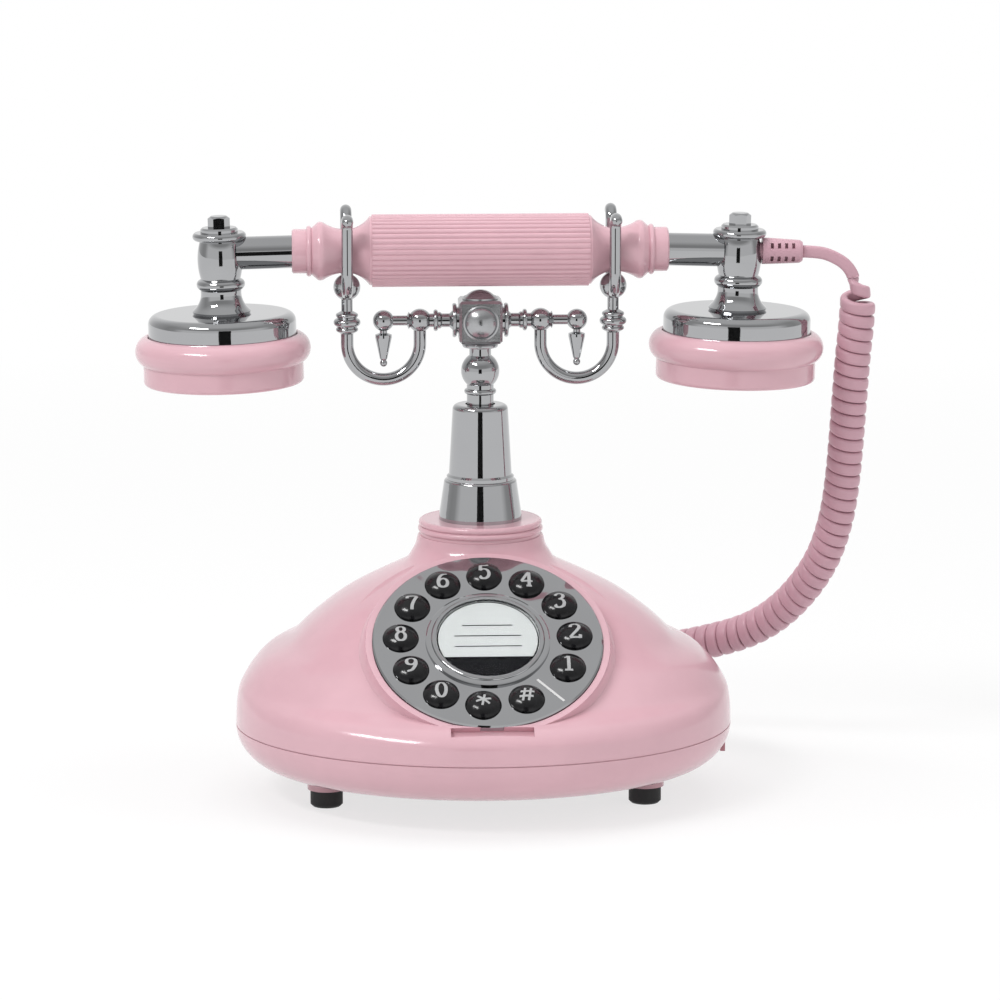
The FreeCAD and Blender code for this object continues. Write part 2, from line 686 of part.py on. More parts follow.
def base_shell():
    """Upper moulding: the hollow bell, its dial seat, the collar under the pillar and the screw posts."""
    outer = Part.makeLoft([bell_wire(share, 0, 0) for share in BELL_LEVELS], True, False)
    flare_mid = RIM_FLARE * (1 - math.sqrt(0.5))
    seat = lathe([
        (0, -PLATE_PROUD), (RIM_R, -PLATE_PROUD),
        (RIM_R + flare_mid, -PLATE_PROUD - RIM_FLARE + flare_mid, RIM_R + RIM_FLARE,
         -PLATE_PROUD - RIM_FLARE),
        (RIM_R + RIM_FLARE, -PLATE_PROUD - 1.5 * RIM_FLARE), (0, -PLATE_PROUD - 1.5 * RIM_FLARE)])
    below = box(-BASE_HALF_WIDTH, BASE_HALF_WIDTH, -2 * BASE_HALF_DEPTH, BASE_HALF_DEPTH, 0, SEAM_Z)
    outer = joined(outer, [placed(seat, DIAL_PLACE).cut(below), collar()])
    hollow = Part.makeLoft([bell_wire(share, WALL, WALL) for share in BELL_LEVELS], True, False)
    posts = [rod(SCREW_POST_R, SHELL_RISE, vec(x, y, SEAM_Z)).common(outer) for x, y in SCREWS]
    shell = joined(outer.cut(hollow).cut(seam_groove()), posts)
    shell = less(shell, [rod(SCREW_R + FIT, SCREW_GRIP + LOOSE, vec(x, y, SEAM_Z)) for x, y in SCREWS])
    well = rod(WELL_R, RIM_FLARE * 3, vec(0, 0, -PLATE_THICK), -Z_AXIS)
    recess = rod(DIAL_R + SLIP, PLATE_THICK + RIM_FLARE, vec(0, 0, -PLATE_THICK))
    notch = box(-NOTCH_WIDTH / 2, NOTCH_WIDTH / 2, -RIM_R - RIM_WIDTH, -DIAL_R, -PLATE_PROUD - NOTCH_DEPTH,
                PLATE_PROUD)
    shell = less(shell, [placed(space, DIAL_PLACE) for space in (well, recess, notch)])
    return shell.cut(rod(SPIGOT_R + FIT, COLLAR_HEIGHT + SHELL_RISE, PILLAR_AXIS + vec(0, 0, SEAM_Z)))


def collar():
    """Round collar on top of the bell, with two raised rings."""
    ring = COLLAR_HEIGHT / 2
    swell = COLLAR_R + COLLAR_SWELL
    waist = COLLAR_R - COLLAR_GROOVE
    groove_z = COLLAR_Z + 0.4 * ring
    middle_z = groove_z + 0.8 * ring
    return lathe([
        (0, COLLAR_UNDER_Z), (waist - WALL, COLLAR_UNDER_Z), (waist, COLLAR_Z), (waist, groove_z),
        (swell, (groove_z + middle_z) / 2, waist, middle_z),
        (COLLAR_R, (middle_z + COLLAR_TOP_Z) / 2, COLLAR_R - COLLAR_TOP_INSET, COLLAR_TOP_Z),
        (0, COLLAR_TOP_Z)],
        PILLAR_AXIS)


def rubber_feet():
    """Four black feet stuck under the pan's bosses."""
    outline = [(0, 0), (FOOT_R - FOOT_EDGE, 0), (FOOT_R, FOOT_EDGE), (FOOT_R, FOOT_HEIGHT), (0, FOOT_HEIGHT)]
    return [lathe(outline, vec(x, y, 0)) for x, y in FEET]


def base_screws():
    """Four screws from below that hold the pan to the bell."""
    screws = []
    low_z = SCREW_SEAT_Z - SCREW_HEAD_HEIGHT
    slot_half = SCREW_SLOT / 2
    for x, y in SCREWS:
        head = rod(SCREW_HEAD_R, SCREW_HEAD_HEIGHT, vec(x, y, low_z))
        shank = rod(SCREW_R, SEAM_Z + SCREW_GRIP - SCREW_SEAT_Z, vec(x, y, SCREW_SEAT_Z))
        slot = box(x - SCREW_HEAD_R, x + SCREW_HEAD_R, y - slot_half, y + slot_half, low_z,
                   low_z + SCREW_HEAD_HEIGHT / 2)
        screws.append(joined(head, [shank]).cut(slot))
    return screws


def ballast_plate():
    """Steel weight on the pan's floor, so that the set doesn't tip."""
    return box(-BALLAST_HALF_WIDTH, BALLAST_HALF_WIDTH, BALLAST_FRONT_Y, BALLAST_BACK_Y,
               INSIDE_Z, INSIDE_Z + BALLAST_THICK)


def main_board():
    """Circuit board on the pan's four posts."""
    return box(-BOARD_HALF_WIDTH, BOARD_HALF_WIDTH, BOARD_FRONT_Y, BOARD_BACK_Y, BOARD_Z,
               BOARD_Z + BOARD_THICK)


def hook_microswitch():
    """Switch on the main board under the cradle's plunger rod."""
    width, depth, height = MICROSWITCH_SIZE
    foot_z = BOARD_Z + BOARD_THICK
    body = box(-width / 2, width / 2, PILLAR_Y - depth / 2, PILLAR_Y + depth / 2, foot_z, foot_z + height)
    button = rod(MICROSWITCH_BUTTON_R, MICROSWITCH_BUTTON, vec(0, PILLAR_Y, foot_z + height))
    return joined(body, [button])


MICROSWITCH_TOP_Z = BOARD_Z + BOARD_THICK + MICROSWITCH_SIZE[2] + MICROSWITCH_BUTTON


def ringer_speaker():
    """Small round speaker that lies face down over the grille."""
    return lathe([
        (0, INSIDE_Z), (SPEAKER_R, INSIDE_Z), (SPEAKER_R, INSIDE_Z + SPEAKER_RIM),
        (SPEAKER_MAGNET_R, INSIDE_Z + SPEAKER_BASKET), (SPEAKER_MAGNET_R, INSIDE_Z + SPEAKER_HEIGHT),
        (0, INSIDE_Z + SPEAKER_HEIGHT)],
        vec(SPEAKER_INSET - BASE_HALF_WIDTH, SPEAKER_Y, 0))


def ringer_switch():
    """Slide switch on the pan's floor, behind the ringer slider."""
    body = box(SWITCH_BODY_X - SWITCH_BODY_WIDTH, SWITCH_BODY_X, SWITCH_Y - SWITCH_BODY_HALF,
               SWITCH_Y + SWITCH_BODY_HALF, INSIDE_Z, SWITCH_Z + SWITCH_FLANGE / 2 + SWITCH_BODY_ROOF)
    half = SWITCH_STEM / 2 + SLIP
    slot = box(SWITCH_BODY_X - SWITCH_BODY_WIDTH / 2, SWITCH_BODY_X, SWITCH_Y - SWITCH_SLOT_HALF,
               SWITCH_Y + SWITCH_SLOT_HALF, SWITCH_Z - half, SWITCH_Z + half)
    return body.cut(slot)


def switch_slider():
    """Ringer slider, at the front of its travel: knob in the pocket, stem through the wall, flange behind."""
    y = SWITCH_Y - SWITCH_TRAVEL / 2
    half_knob = SWITCH_KNOB / 2
    half_stem = SWITCH_STEM / 2
    knob_x = SWITCH_WALL_X + SWITCH_KNOB_PROUD
    knob = box(SWITCH_POCKET_X + FIT, knob_x, y - half_knob, y + half_knob, SWITCH_Z - half_knob,
               SWITCH_Z + half_knob)
    groove_step = SWITCH_KNOB / 4
    half_groove = SWITCH_GROOVE_WIDTH / 2
    for k in (-1, 0, 1):
        groove_y = y + k * groove_step
        knob = knob.cut(box(knob_x - SWITCH_GROOVE_DEPTH, knob_x + SWITCH_KNOB, groove_y - half_groove,
                            groove_y + half_groove, SWITCH_Z - SWITCH_KNOB, SWITCH_Z + SWITCH_KNOB))
    tail_x = SWITCH_BODY_X - SWITCH_BODY_WIDTH / 2 + LOOSE
    stem = box(tail_x, SWITCH_POCKET_X + SWITCH_POCKET_DEPTH / 2, y - half_stem, y + half_stem,
               SWITCH_Z - half_stem, SWITCH_Z + half_stem)
    flange = box(SWITCH_FLANGE_X - SWITCH_FLANGE_THICK, SWITCH_FLANGE_X, y - half_knob, y + half_knob,
                 SWITCH_Z - SWITCH_FLANGE / 2, SWITCH_Z + SWITCH_FLANGE / 2)
    return joined(knob, [stem, flange])


def jack(x):
    """Modular socket that stands on the pan's floor and opens to the back."""
    half = JACK_WIDTH / 2
    body = box(x - half, x + half, JACK_FACE_Y - JACK_DEPTH, JACK_FACE_Y, INSIDE_Z, INSIDE_Z + JACK_HEIGHT)
    return body.cut(box(x - SOCKET_WIDTH / 2, x + SOCKET_WIDTH / 2, JACK_FACE_Y - SOCKET_DEPTH, JACK_FACE_Y,
                        JACK_MID_Z - SOCKET_HEIGHT / 2, JACK_MID_Z + SOCKET_HEIGHT / 2))


PLUG_END_Y = JACK_FACE_Y + LOOSE + PLUG_BODY


def cord_plug():
    """Plug of the handset cord: a neck in the socket and a body behind it."""
    neck_half_w = SOCKET_WIDTH / 2 - SLIP
    neck_half_h = SOCKET_HEIGHT / 2 - SLIP
    body_y = JACK_FACE_Y + LOOSE
    neck = box(JACK_X - neck_half_w, JACK_X + neck_half_w, JACK_FACE_Y - PLUG_NECK, body_y,
               JACK_MID_Z - neck_half_h, JACK_MID_Z + neck_half_h)
    body = box(JACK_X - PLUG_BODY_WIDTH / 2, JACK_X + PLUG_BODY_WIDTH / 2, body_y, PLUG_END_Y,
               JACK_MID_Z - PLUG_BODY_HEIGHT / 2, JACK_MID_Z + PLUG_BODY_HEIGHT / 2)
    long_edges = [edge for edge in body.Edges if abs(edge.tangentAt(edge.FirstParameter).y) > 0.9]
    return joined(neck, [body.makeFillet(PLUG_EDGE_R, long_edges)])


def key_places():
    """Give each key's name and its middle on the dial, counter-clockwise from the gap."""
    names = [str(number) for number in range(1, 10)] + ["0", "star", "hash"]
    places = []
    for k in range(KEY_COUNT):
        turn = math.radians(KEY_GAP_ANGLE + KEY_GAP_HALF + KEY_PITCH * k)
        places.append(("key_" + names[k], KEY_RING_R * math.cos(turn), KEY_RING_R * math.sin(turn)))
    return places


def dial_posts():
    """Give the middles of the posts under the dial plate."""
    turns = [math.radians(90 + 360 / DIAL_POST_COUNT * k) for k in range(DIAL_POST_COUNT)]
    return [(DIAL_POST_RING_R * math.cos(turn), DIAL_POST_RING_R * math.sin(turn)) for turn in turns]


KEY_FLANGE_TOP = -PLATE_THICK - FIT * 2
KEY_BOTTOM = KEY_FLANGE_TOP - KEY_FLANGE_THICK
CUP_TOP = KEY_BOTTOM - KEY_TRAVEL - SLIP
MEMBRANE_TOP = CUP_TOP - CUP_HEIGHT
KEYPAD_TOP = MEMBRANE_TOP - MEMBRANE_THICK
KEYPAD_UNDER = KEYPAD_TOP - KEYPAD_THICK


def dial_plate():
    """Chrome plate with a hole for each key and three screw posts behind it."""
    plate = lathe([(0, -PLATE_THICK), (DIAL_R, -PLATE_THICK), (DIAL_R, -PLATE_EDGE),
                   (DIAL_R - PLATE_EDGE, 0), (0, 0)])
    posts = [rod(DIAL_POST_R, -PLATE_THICK / 2 - KEYPAD_TOP, vec(x, y, KEYPAD_TOP)) for x, y in dial_posts()]
    holes = [rod(KEY_R + SLIP, 2 * PLATE_THICK, vec(x, y, -1.5 * PLATE_THICK)) for name, x, y in key_places()]
    holes += [rod(DIAL_SCREW_R + FIT, -KEYPAD_TOP - PLATE_THICK, vec(x, y, KEYPAD_TOP)) for x,
              y in dial_posts()]
    return placed(less(joined(plate, posts), holes), DIAL_PLACE)


def dial_bezel():
    """Stepped chrome ring round the number card."""
    step_r = (BEZEL_R + CARD_R) / 2
    inner_r = CARD_R + SLIP
    ring = lathe([
        (inner_r, 0), (BEZEL_R, 0), (BEZEL_R, 0.5 * BEZEL_HEIGHT), (BEZEL_R - BEZEL_EDGE, 0.6 * BEZEL_HEIGHT),
        (step_r, 0.65 * BEZEL_HEIGHT),
        (step_r - 0.3 * BEZEL_ROLL, 0.95 * BEZEL_HEIGHT, step_r - BEZEL_ROLL, BEZEL_HEIGHT),
        (inner_r, BEZEL_HEIGHT)])
    return placed(ring, DIAL_PLACE)


def number_card():
    """Paper card in the middle of the dial."""
    return placed(rod(CARD_R, CARD_THICK, ORIGIN), DIAL_PLACE)


def card_lens():
    """Clear disc over the card."""
    return placed(rod(CARD_R, LENS_THICK, vec(0, 0, CARD_THICK)), DIAL_PLACE)


def key(x, y):
    """One push key: domed cap, body in the plate's hole and a flange under the plate."""
    mid_r, mid_rise = dome_middle(KEY_R, KEY_DOME)
    flange_r = KEY_R + KEY_FLANGE
    cap = lathe([
        (0, KEY_BOTTOM), (flange_r, KEY_BOTTOM), (flange_r, KEY_FLANGE_TOP), (KEY_R, KEY_FLANGE_TOP),
        (KEY_R, KEY_EDGE), (mid_r, KEY_EDGE + mid_rise, 0, KEY_EDGE + KEY_DOME)], vec(x, y, 0))
    return placed(cap, DIAL_PLACE)


def key_membrane():
    """Rubber sheet with a cup under each key, drawn at the cups' pressed height."""
    sheet = rod(KEYPAD_R, MEMBRANE_THICK, vec(0, 0, KEYPAD_TOP))
    for name, x, y in key_places():
        cup = rod(CUP_OUTER_R, CUP_HEIGHT + MEMBRANE_THICK / 2, vec(x, y, MEMBRANE_TOP - MEMBRANE_THICK / 2))
        sheet = joined(sheet, [cup]).cut(rod(CUP_INNER_R, CUP_HEIGHT, vec(x, y, MEMBRANE_TOP)))
    for x, y in dial_posts():
        sheet = sheet.cut(rod(DIAL_POST_R + LOOSE, 2 * MEMBRANE_THICK,
                              vec(x, y, KEYPAD_TOP - MEMBRANE_THICK / 2)))
    return placed(sheet, DIAL_PLACE)


def keypad_board():
    """Round contact board behind the membrane."""
    board = rod(KEYPAD_R, KEYPAD_THICK, vec(0, 0, KEYPAD_UNDER))
    for x, y in dial_posts():
        board = board.cut(rod(DIAL_SCREW_R + SLIP, 2 * KEYPAD_THICK,
                              vec(x, y, KEYPAD_UNDER - KEYPAD_THICK / 2)))
    return placed(board, DIAL_PLACE)


def dial_screws():
    """Three screws from behind, through the keypad board into the plate's posts."""
    screws = []
    for x, y in dial_posts():
        head = rod(2 * DIAL_SCREW_R, DIAL_SCREW_HEAD, vec(x, y, KEYPAD_UNDER - DIAL_SCREW_HEAD))
        shank = rod(DIAL_SCREW_R, -PLATE_THICK - LOOSE - KEYPAD_UNDER, vec(x, y, KEYPAD_UNDER))
        screws.append(placed(joined(head, [shank]), DIAL_PLACE))
    return screws


SPIGOT_END_Z = COLLAR_UNDER_Z - SPIGOT_TAIL
SPRING_SEAT_Z = SPIGOT_END_Z + SPRING_SEAT_HEIGHT
NECK_END_Z = PILLAR_TOP_Z - NECK_DEPTH
CLIP_Z = SPIGOT_END_Z - HOOK_TRAVEL - SLIP - CLIP_THICK


def pillar_cone():
    """Chrome pillar: tapered tube with a stepped foot and a spigot through the collar."""
    step_z = COLLAR_TOP_Z + PILLAR_STEP_RISE
    roof_z = PILLAR_TOP_Z - PILLAR_ROOF
    mouth_r = NECK_R + PILLAR_MOUTH_GAP
    lip_r = PILLAR_CONE_R + PILLAR_LIP
    lip_z = step_z + PILLAR_STEP_ROLL
    lip_top_z = lip_z + PILLAR_LIP_HEIGHT
    edge = PILLAR_TOP_EDGE
    return lathe([
        (PILLAR_BORE_R, SPIGOT_END_Z), (SPIGOT_R, SPIGOT_END_Z), (SPIGOT_R, COLLAR_TOP_Z),
        (PILLAR_FOOT_R, COLLAR_TOP_Z), (PILLAR_FOOT_R, COLLAR_TOP_Z + PILLAR_FOOT_BAND),
        (PILLAR_STEP_R, step_z),
        (PILLAR_STEP_R - 0.45 * (PILLAR_STEP_R - lip_r), step_z + 0.75 * PILLAR_STEP_ROLL, lip_r, lip_z),
        (lip_r, lip_top_z), (PILLAR_CONE_R, lip_top_z + PILLAR_LIP_SLANT),
        (PILLAR_TOP_R, PILLAR_TOP_Z - edge),
        (PILLAR_TOP_R - 0.3 * edge, PILLAR_TOP_Z - 0.3 * edge, PILLAR_TOP_R - edge, PILLAR_TOP_Z),
        (mouth_r, PILLAR_TOP_Z), (mouth_r, roof_z), (PILLAR_BORE_R, roof_z)], PILLAR_AXIS)


def pillar_nut():
    """Thin hexagon nut that clamps the pillar's spigot under the collar."""
    foot = PILLAR_AXIS + vec(0, 0, COLLAR_UNDER_Z - NUT_HEIGHT)
    return hex_prism(NUT_ACROSS, NUT_HEIGHT, foot).cut(rod(SPIGOT_R + FIT, NUT_HEIGHT, foot))


def pillar_bush():
    """Plastic bush under the pillar's roof, in which the cradle's neck slides."""
    top = PILLAR_TOP_Z - PILLAR_ROOF
    return lathe([(NECK_R + FIT, top - BUSH_LENGTH), (PILLAR_BORE_R - FIT, top - BUSH_LENGTH),
                  (PILLAR_BORE_R - FIT, top), (NECK_R + FIT, top)], PILLAR_AXIS)


def spring_seat():
    """Ring screwed into the spigot's end: it carries the hook spring and guides the rod."""
    return lathe([(ROD_R + FIT, SPIGOT_END_Z), (PILLAR_BORE_R - FIT, SPIGOT_END_Z),
                  (PILLAR_BORE_R - FIT, SPRING_SEAT_Z), (ROD_R + FIT, SPRING_SEAT_Z)], PILLAR_AXIS)


def hook_spring():
    """Coil spring between its seat and the shoulder of the cradle's neck."""
    coil_r = (ROD_R + NECK_R) / 2
    low = SPRING_SEAT_Z + SPRING_WIRE_R + FIT
    high = NECK_END_Z - SPRING_WIRE_R - FIT
    pitch = (high - low) / SPRING_TURNS

    def at(turn):
        angle = 2 * math.pi * turn
        return vec(coil_r * math.cos(angle), PILLAR_Y + coil_r * math.sin(angle), low + pitch * turn)

    points = [at(k / 2) for k in range(2 * SPRING_TURNS + 1)]
    tangents = [(at(k / 2 + 0.001) - at(k / 2 - 0.001)).normalize() for k in range(2 * SPRING_TURNS + 1)]
    return bent_rod(SPRING_WIRE_R, biarc_edges(points, tangents))


def cradle_stem():
    """Turned chrome stem: plunger rod, sliding neck, rings and ball, with a spigot into the block."""
    ring_z = PILLAR_TOP_Z + STEM_RING_RISE
    ball_z = PILLAR_TOP_Z + STEM_BALL_RISE
    top_z = PILLAR_TOP_Z + STEM_RISE
    disc_z = top_z - STEM_DISC_HEIGHT
    edge = STEM_DISC_EDGE
    low_reach = math.sqrt(STEM_BALL_R ** 2 - NECK_R ** 2)
    high_reach = math.sqrt(STEM_BALL_R ** 2 - STEM_WAIST_R ** 2)
    groove_r = ROD_R - CLIP_GROOVE
    return lathe([
        (0, MICROSWITCH_TOP_Z + LOOSE), (ROD_R, MICROSWITCH_TOP_Z + LOOSE), (ROD_R, CLIP_Z),
        (groove_r, CLIP_Z),
        (groove_r, CLIP_Z + CLIP_THICK), (ROD_R, CLIP_Z + CLIP_THICK), (ROD_R, NECK_END_Z),
        (NECK_R, NECK_END_Z),
        (NECK_R, ring_z - STEM_RING_HALF), (NECK_R + STEM_RING_PROUD, ring_z, NECK_R,
                                            ring_z + STEM_RING_HALF),
        (NECK_R, ball_z - low_reach), (STEM_BALL_R, ball_z, STEM_WAIST_R, ball_z + high_reach),
        (STEM_WAIST_R, disc_z), (STEM_DISC_R, disc_z + edge),
        (STEM_DISC_R + STEM_DISC_SWELL, (disc_z + top_z) / 2, STEM_DISC_R, top_z - edge),
        (STEM_DISC_R - edge, top_z),
        (ROD_R, top_z), (ROD_R, top_z + STEM_SPIGOT), (0, top_z + STEM_SPIGOT)], PILLAR_AXIS)


def plunger_clip():
    """Spring clip on the rod: it stops the cradle at the top of its travel."""
    groove_r = ROD_R - CLIP_GROOVE + FIT
    return lathe([(groove_r, CLIP_Z), (CLIP_R, CLIP_Z), (CLIP_R, CLIP_Z + CLIP_THICK),
                  (groove_r, CLIP_Z + CLIP_THICK)],
                 PILLAR_AXIS)


def dome_button(face_centre, outward):
    """Round button on a face of the block: a flat ring and a dome."""
    ring_r = DOME_R + DOME_RING
    mid_r, mid_rise = dome_middle(DOME_R, DOME_RISE)
    return lathe([
        (0, -DOME_SINK), (ring_r, -DOME_SINK), (ring_r, DOME_FOOT), (DOME_R + DOME_RING / 4, DOME_RING_RISE),
        (DOME_R, DOME_FOOT), (mid_r, DOME_FOOT + mid_rise, 0, DOME_FOOT + DOME_RISE)], face_centre, outward)


def dome_middle(radius, rise):
    """Give a point half way up a round dome: its radius, and its height over the dome's edge."""
    sphere_r = (radius ** 2 + rise ** 2) / (2 * rise)
    mid_r = radius * 0.6
    return mid_r, rise - sphere_r + math.sqrt(sphere_r ** 2 - mid_r ** 2)


def cradle_block():
    """Chrome cube in the middle of the cradle, with a domed button on the front, back and top."""
    half = BLOCK_SIDE / 2
    cube = box(-half, half, PILLAR_Y - half, PILLAR_Y + half, ARM_Z - half, ARM_Z + half)
    cube = cube.makeChamfer(BLOCK_CHAMFER, cube.Edges)
    middle = PILLAR_AXIS + vec(0, 0, ARM_Z)
    buttons = [dome_button(middle + way * half, way) for way in (Y_AXIS * -1, Y_AXIS, Z_AXIS)]
    cube = joined(cube, buttons)
    sockets = [rod(ARM_ROD_R + FIT, ARM_TENON, middle + way * half, way * -1) for way in (X_AXIS,
                                                                                          X_AXIS * -1)]
    spigot = rod(ROD_R + FIT, STEM_SPIGOT + FIT, middle + vec(0, 0, -half))
    return less(cube, sockets + [spigot])


FINIAL_X = (HOOK_INNER_X + FORK_X) / 2


def cradle_arm():
    """Right-hand turned arm: disc at the block, ring, ball over the hook, finial ball."""
    face = BLOCK_SIDE / 2
    ball_reach = math.sqrt(ARM_BALL_R ** 2 - ARM_ROD_R ** 2)
    finial_reach = math.sqrt(FINIAL_R ** 2 - FINIAL_NECK_R ** 2)
    tenon_x = face - ARM_TENON + FIT
    disc_x = face + ARM_FLANGE_THICK
    disc_edge_r = ARM_DISC_R - ARM_DISC_STEP
    cone_x = disc_x + ARM_DISC_THICK
    ring_x = HOOK_INNER_X - ARM_BALL_R - ARM_RING_GAP
    ring_edge_r = ARM_RING_R - ARM_RING_STEP
    sleeve_x = ring_x - 2 * ARM_RING_HALF
    bead_x = HOOK_INNER_X + ball_reach + FINIAL_BEAD_HALF
    return lathe([
        (0, tenon_x), (ARM_ROD_R, tenon_x), (ARM_ROD_R, face), (ARM_FLANGE_R, face), (ARM_FLANGE_R, disc_x),
        (disc_edge_r, disc_x), (ARM_DISC_R, (disc_x + cone_x) / 2, disc_edge_r, cone_x), (ARM_CONE_R, cone_x),
        (ARM_ROD_R, cone_x + ARM_CONE_LENGTH), (ARM_ROD_R, sleeve_x - ARM_RING_SLANT),
        (ring_edge_r, sleeve_x),
        (ring_edge_r, ring_x - ARM_RING_HALF), (ARM_RING_R, ring_x, ring_edge_r, ring_x + ARM_RING_HALF),
        (ARM_ROD_R, ring_x + ARM_RING_HALF), (ARM_ROD_R, HOOK_INNER_X - ball_reach),
        (ARM_BALL_R, HOOK_INNER_X, ARM_ROD_R, HOOK_INNER_X + ball_reach),
        (ARM_ROD_R + FINIAL_BEAD, bead_x), (FINIAL_NECK_R, bead_x + FINIAL_BEAD_HALF),
        (FINIAL_NECK_R, FINIAL_X - finial_reach), (FINIAL_R, FINIAL_X, 0, FINIAL_X + FINIAL_R)],
        PILLAR_AXIS + vec(0, 0, ARM_Z), X_AXIS)


def pendant_drop():
    """Right-hand turned drop that hangs from the finial ball."""
    top = ARM_Z - FINIAL_R + PENDANT_SINK
    end = ARM_Z - FINIAL_R - PENDANT_LENGTH
    tip_r = PENDANT_TIP_R
    tip_z = end + tip_r
    tip_reach = math.sqrt(tip_r ** 2 - PENDANT_NECK_R ** 2)
    shoulder_z = top - PENDANT_STEM - PENDANT_SHOULDER
    drop = lathe([
        (0, top), (tip_r, top), (tip_r, top - PENDANT_STEM), (PENDANT_R, shoulder_z),
        (PENDANT_R, shoulder_z - PENDANT_BAND), (tip_r, tip_z + tip_r + PENDANT_NECK_GAP),
        (PENDANT_NECK_R, tip_z + tip_reach), (tip_r, tip_z, 0, end)], vec(FINIAL_X, PILLAR_Y, 0))
    return drop.cut(cradle_arm())


def hook():
    """Right-hand U hook: bent rod from the arm's ball to the fork's stem, with three rings."""
    bend_r = (FORK_X - HOOK_INNER_X) / 2
    low_z = ARM_Z - HOOK_DROP
    ring_z = ARM_Z - HOOK_RING_DROP
    inner_top = vec(HOOK_INNER_X, PILLAR_Y, ARM_Z - ARM_BALL_R / 2)
    inner_low = vec(HOOK_INNER_X, PILLAR_Y, low_z)
    outer_low = vec(FORK_X, PILLAR_Y, low_z)
    outer_top = vec(FORK_X, PILLAR_Y, ring_z)
    bottom = vec(FINIAL_X, PILLAR_Y, low_z - bend_r)
    bar = bent_rod(HOOK_ROD_R, [
        Part.LineSegment(inner_top, inner_low).toShape(), Part.Arc(inner_low, bottom, outer_low).toShape(),
        Part.LineSegment(outer_low, outer_top).toShape()])
    stem_r = HOOK_ROD_R - HOOK_STEM_STEP
    stem_top_z = FORK_BALL_Z - FORK_BALL_R / 2
    big_edge_r = HOOK_RING_R - HOOK_RING_STEP
    small_r = HOOK_RING_SMALL_R
    small_edge_r = small_r - HOOK_RING_SMALL_STEP
    big = HOOK_RING_HALF
    near = big + HOOK_RING_GAP
    mid = near + HOOK_RING_SMALL_HALF
    far = mid + HOOK_RING_SMALL_HALF
    end = far + HOOK_RING_SLANT
    rings = lathe([
        (0, ring_z - end), (HOOK_ROD_R, ring_z - end), (small_edge_r, ring_z - far),
        (small_r, ring_z - mid, small_edge_r, ring_z - near), (big_edge_r, ring_z - big),
        (HOOK_RING_R, ring_z, big_edge_r, ring_z + big), (small_edge_r, ring_z + near),
        (small_r, ring_z + mid, small_edge_r, ring_z + far), (stem_r, ring_z + end),
        (stem_r, stem_top_z), (0, stem_top_z)], vec(FORK_X, PILLAR_Y, 0))
    return joined(bar, [rings]).cut(cradle_arm())


def prong_points(way):
    """Give the points of one prong, from the crotch to the tip: way is -1 for the front, 1 for the back."""
    rod_z = FORK_BALL_Z - FORK_CROTCH_DROP
    bend_share = 1 - math.sqrt(0.5)
    curl_z = rod_z + FORK_PRONG

    def at(reach, z):
        return vec(FORK_X, PILLAR_Y + way * reach, z)

    def on_curl(degrees):
        turn = math.radians(degrees)
        return at(FORK_HALF_GAP + FORK_CURL_R * (1 - math.cos(turn)), curl_z + FORK_CURL_R * math.sin(turn))

    return [at(FORK_HALF_GAP - FORK_BEND_R, rod_z),
            at(FORK_HALF_GAP - FORK_BEND_R * bend_share, rod_z + FORK_BEND_R * bend_share),
            at(FORK_HALF_GAP, rod_z + FORK_BEND_R), at(FORK_HALF_GAP, curl_z),
            on_curl(FORK_CURL_TURN / 2), on_curl(FORK_CURL_TURN)]


def fork_edges(line):
    """Join the fork's twelve points: curl, prong, bend, crotch, bend, prong, curl."""
    arcs = [Part.Arc(*line[k:k + 3]).toShape() for k in (0, 3, 6, 9)]
    runs = [Part.LineSegment(line[k], line[k + 1]).toShape() for k in (2, 5, 8)]
    return [arcs[0], runs[0], arcs[1], runs[1], arcs[2], runs[2], arcs[3]]


def fork():
    """Right-hand fork: a ball on the hook's stem and one bent rod through it, with curled round tips."""
    line = prong_points(-1)[::-1] + prong_points(1)
    edges = fork_edges(line)
    bar = bent_rod(FORK_ROD_R, edges)
    slant = FORK_ROD_R * math.sqrt(0.5)
    round_end = [(0, 0), (FORK_ROD_R, 0), (slant, slant, 0, FORK_ROD_R)]
    front_way = edges[0].tangentAt(edges[0].FirstParameter) * -1
    back_way = edges[-1].tangentAt(edges[-1].LastParameter)
    ends = [lathe(round_end, line[0], front_way), lathe(round_end, line[-1], back_way)]
    yoke = ball(FORK_BALL_R, vec(FORK_X, PILLAR_Y, FORK_BALL_Z))
    stem_r = HOOK_ROD_R - HOOK_STEM_STEP
    socket_z = FORK_BALL_Z - 2 * FORK_BALL_R
    socket = rod(stem_r + FIT, 1.5 * FORK_BALL_R + FIT, vec(FORK_X, PILLAR_Y, socket_z))
    return joined(bar, ends + [yoke]).cut(socket)


HANDSET_AXIS = PILLAR_AXIS + FreeCAD.Vector(0, 0, HANDSET_Z)


def canted(shape):
    """Lean a right-hand arm piece down about the end of its collar."""
    turned = shape.copy()
    turned.rotate(HANDSET_AXIS + vec(COLLAR_STEP_X, 0, 0), Y_AXIS, ARM_CANT)
    return turned


